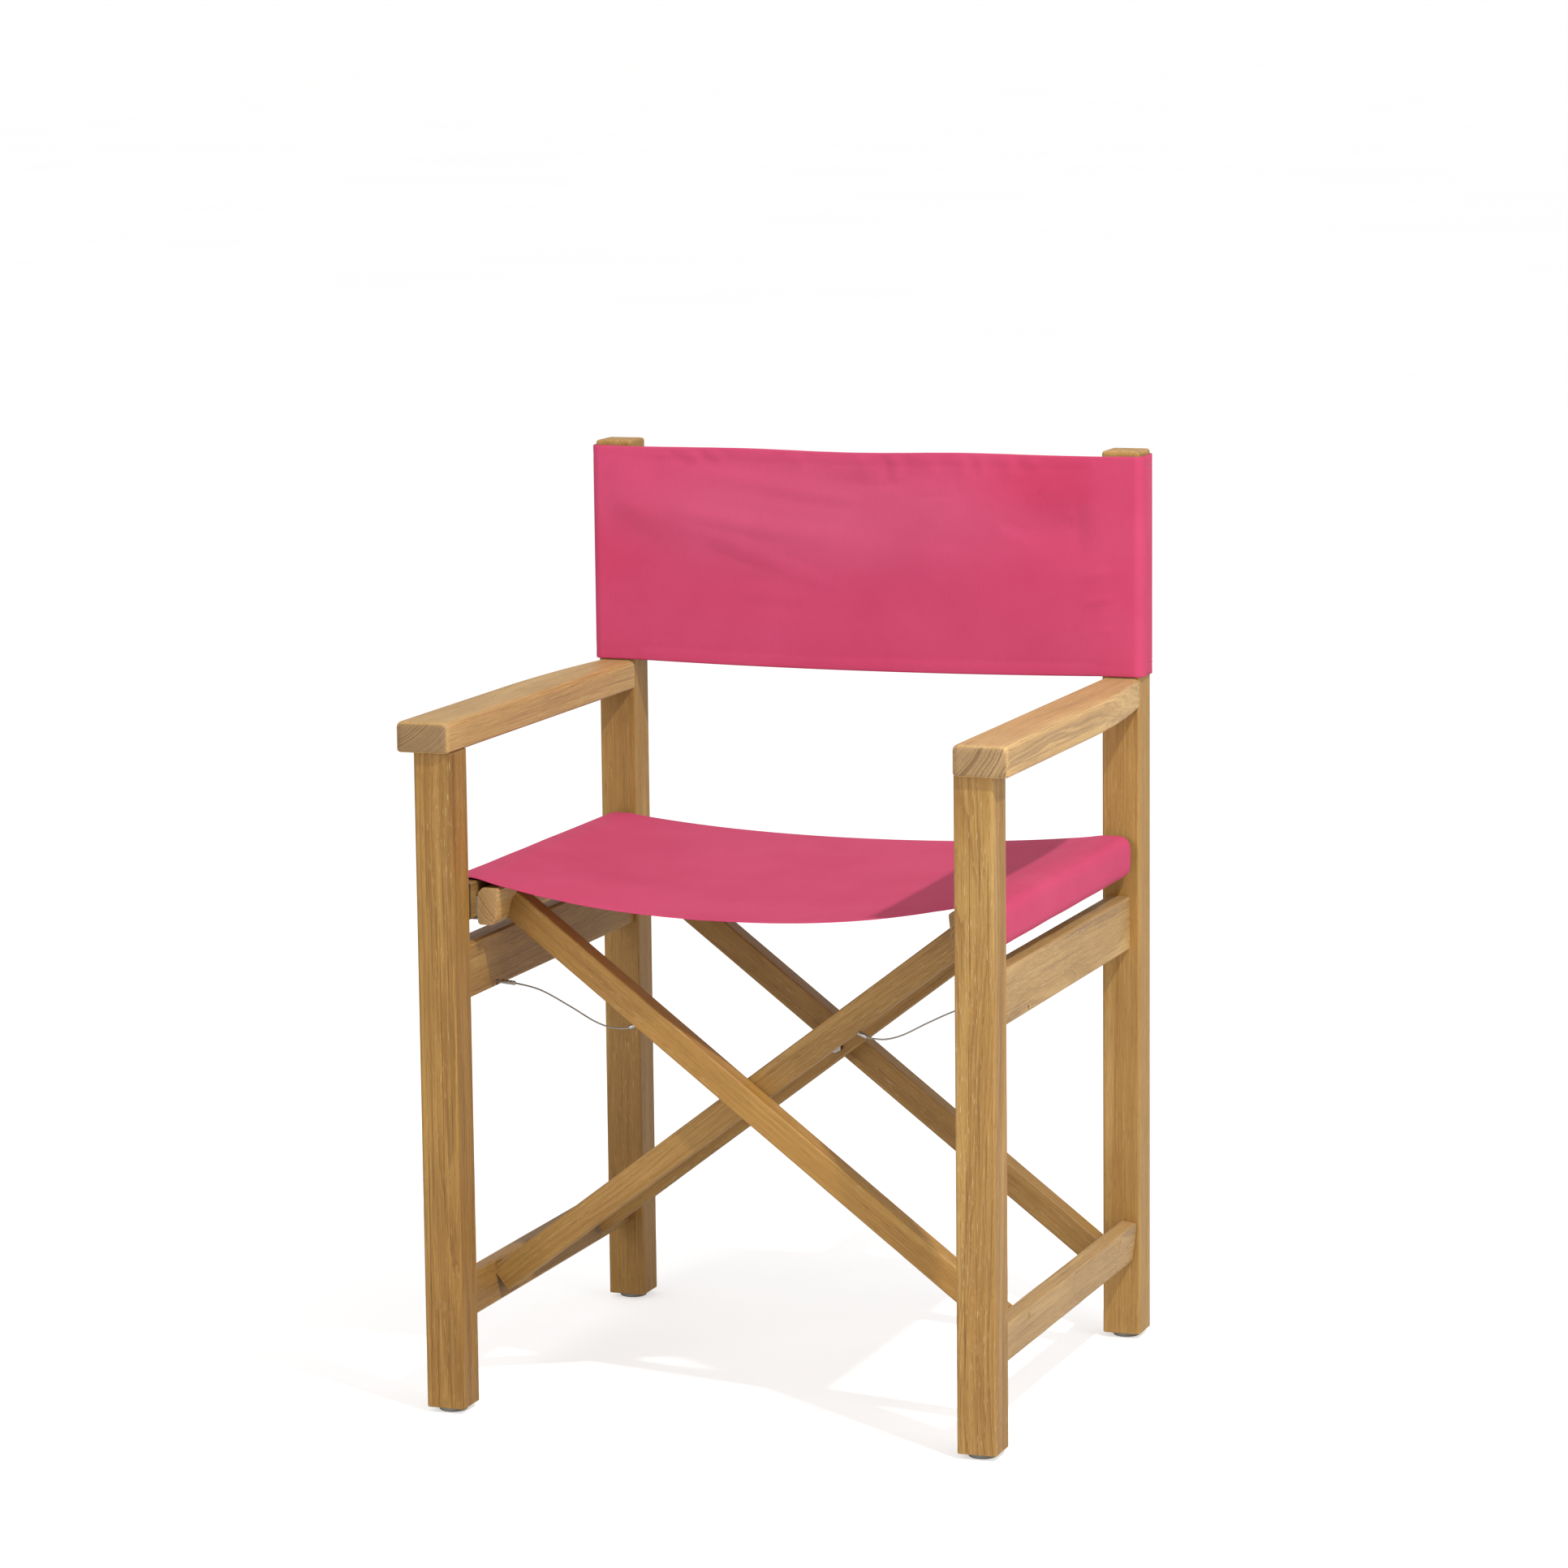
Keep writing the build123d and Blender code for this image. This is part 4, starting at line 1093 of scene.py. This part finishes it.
def cable(side, y, bar_body):
    """One cable in the plane at y (mm), from a side's rail to a crossed bar."""
    sign = 1 if side == "left" else -1
    line = evenly(catmull([(x * sign, z) for x, z in CABLE]), 360)
    path = np.stack([line[:, 0], np.full(len(line), y), line[:, 1]], 1) * MM
    out = np.abs(path[:, 0])

    # free run and its crimp by the rail, which swing with the cable's body as the chair folds
    run = mesh_object(f"{side}_cable_wire", *rope(path[(out <= RUN_TO) & (out >= RUN_FROM)]), WIRE)
    near = crimp(f"{side}_cable_rail_crimp", RAIL_CRIMP, sign, y)
    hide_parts(f"{side}_cable")
    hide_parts(f"{side}_cable_ferrules")
    for piece, finish in ((run, "wire"), (near, "steel")):
        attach(piece, f"{side}_cable")
        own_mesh(piece)

    # inside the rail: the end of the wire and the knob on it
    verts, faces = rope(path[out >= RAIL_END_FROM])
    knob = [((RAIL_MOUTH[0] - beyond) * sign, y, RAIL_MOUTH[1]) for beyond, _ in KNOB]
    tube(verts, faces, np.array(knob) * MM, [radius for _, radius in KNOB], 16)
    inner = mesh_object(f"{side}_cable_rail_end", verts, faces, WIRE)
    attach(inner, f"{side}_side")

    # at the bar: the wire end in the bar's hole and the crimp stay with the bar
    tail = mesh_object(f"{side}_cable_bar_end", *rope(path[out <= BAR_END_TO]), WIRE)
    far = crimp(f"{side}_cable_bar_crimp", BAR_CRIMP, sign, y)
    for piece, finish in ((tail, "wire"), (far, "steel")):
        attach(piece, bar_body)


cable("left", -138.0, "frame_a")
cable("right", -115.0, "frame_b")

# turn the faces of the new cables and stitches outward
for obj in bpy.context.scene.objects:
    if (obj.type == "MESH" and "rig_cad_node" not in obj
            and ("cable" in obj.name or "stitches" in obj.name)):
        bm = bmesh.new()
        bm.from_mesh(obj.data)
        bmesh.ops.recalc_face_normals(bm, faces=bm.faces)
        bm.to_mesh(obj.data)
        bm.free()


# --------------------------------------------------------------------- stage
FLOOR_RADII = [1, 2, 4, 8, 16, 32, 64, 128, 200]
FLOOR_SIDES = 48


def floor():
    """Wide pale disc that glows a little to the camera only."""
    m = Nodes("studio_floor")
    mottle = m.noise(m.point(), scale=0.6, detail=3.0, rough=0.5)
    colour = m.layer((0.80, 0.80, 0.80), mottle, over=(0.3, 0.7), to=(0.0, 1.0),
                     colour=(0.83, 0.83, 0.825))
    shader = m.surface(Base_Color=colour, Roughness=0.9, Specular_IOR_Level=0.1)
    seen = m.new("ShaderNodeLightPath").outputs["Is Camera Ray"]
    m.fill(shader, Emission_Color=(1, 1, 1, 1), Emission_Strength=m.times(seen, by=0.52))
    verts = []
    for radius in FLOOR_RADII:
        for k in range(FLOOR_SIDES):
            angle = 2 * math.pi * k / FLOOR_SIDES
            verts.append((radius * math.cos(angle), radius * math.sin(angle), 0))
    centre = len(verts)
    verts.append((0, 0, 0))
    faces = [(centre, k, (k + 1) % FLOOR_SIDES) for k in range(FLOOR_SIDES)]
    # the strips' quads reversed, so that they face up
    faces += [(a, d, c, b) for a, b, c, d in strips(0, len(FLOOR_RADII), FLOOR_SIDES)]
    mesh_object("floor", verts, faces, m.mat)


def area(name, at, aim_height, size, power, colour):
    """Round light aimed at the chair's axis; size is its diameter (m), power in watts."""
    light = bpy.data.lights.new(name, "AREA")
    light.shape = "DISK"
    light.size = size
    light.energy = power
    light.color = colour
    obj = bpy.data.objects.new(name, light)
    bpy.context.scene.collection.objects.link(obj)
    obj.location = at
    obj.rotation_mode = "QUATERNION"
    aim = Vector((0.0, 0.0, aim_height)) - Vector(at)
    obj.rotation_quaternion = aim.to_track_quat("-Z", "Y")


def world():
    """White surroundings, brighter where the camera sees them directly."""
    studio = bpy.data.worlds.new("studio")
    bpy.context.scene.world = studio
    studio.use_nodes = True
    nodes, links = studio.node_tree.nodes, studio.node_tree.links
    nodes.clear()
    lighting, backdrop, mix, rays, output = [nodes.new("ShaderNode" + kind) for kind in (
        "Background", "Background", "MixShader", "LightPath", "OutputWorld")]
    for background, strength in ((lighting, 0.58), (backdrop, 1.0)):
        background.inputs[0].default_value = (1, 1, 1, 1)
        background.inputs[1].default_value = strength
    links.new(rays.outputs["Is Camera Ray"], mix.inputs[0])
    links.new(lighting.outputs[0], mix.inputs[1])
    links.new(backdrop.outputs[0], mix.inputs[2])
    links.new(mix.outputs[0], output.inputs[0])


CAMERA_PLACE = (1.7476, -4.778, 1.3596)
# degrees: yaw to the left, pitch down, roll about the line of sight
CAMERA_ANGLES = (20.3051, 9.0986, -0.6533)


def camera():
    yaw, pitch, roll = (math.radians(angle) for angle in CAMERA_ANGLES)
    forward = Vector((-math.sin(yaw) * math.cos(pitch), math.cos(yaw) * math.cos(pitch),
                      -math.sin(pitch)))
    level = Vector((math.cos(yaw), math.sin(yaw), 0))
    upright = level.cross(forward)
    right = math.cos(roll) * level + math.sin(roll) * upright
    up = -math.sin(roll) * level + math.cos(roll) * upright
    lens = bpy.data.cameras.new("camera")
    lens.sensor_width = 36.0
    lens.lens = 123.9903727
    lens.shift_x = 0.00795031056
    lens.shift_y = 0.02066770186
    lens.clip_start = 0.1
    lens.clip_end = 500
    obj = bpy.data.objects.new("camera", lens)
    bpy.context.scene.collection.objects.link(obj)
    rows = [(*row,) for row in zip(right, up, -forward, CAMERA_PLACE)]
    obj.matrix_world = Matrix((*rows, (0, 0, 0, 1)))
    bpy.context.scene.camera = obj


floor()
area("key", at=(2.1, -1.5, 3.7), aim_height=0.5, size=0.17, power=100, colour=(1.0, 0.985, 0.96))
area("right", at=(3.6, -1.3, 1.7), aim_height=0.45, size=2.0, power=26, colour=(1.0, 0.99, 0.98))
area("front", at=(-1.5, -4.2, 1.9), aim_height=0.5, size=2.2, power=42, colour=(1.0, 1.0, 1.0))
world()
camera()
bpy.context.scene.view_settings.view_transform = "Standard"
bpy.context.scene.view_settings.look = "None"
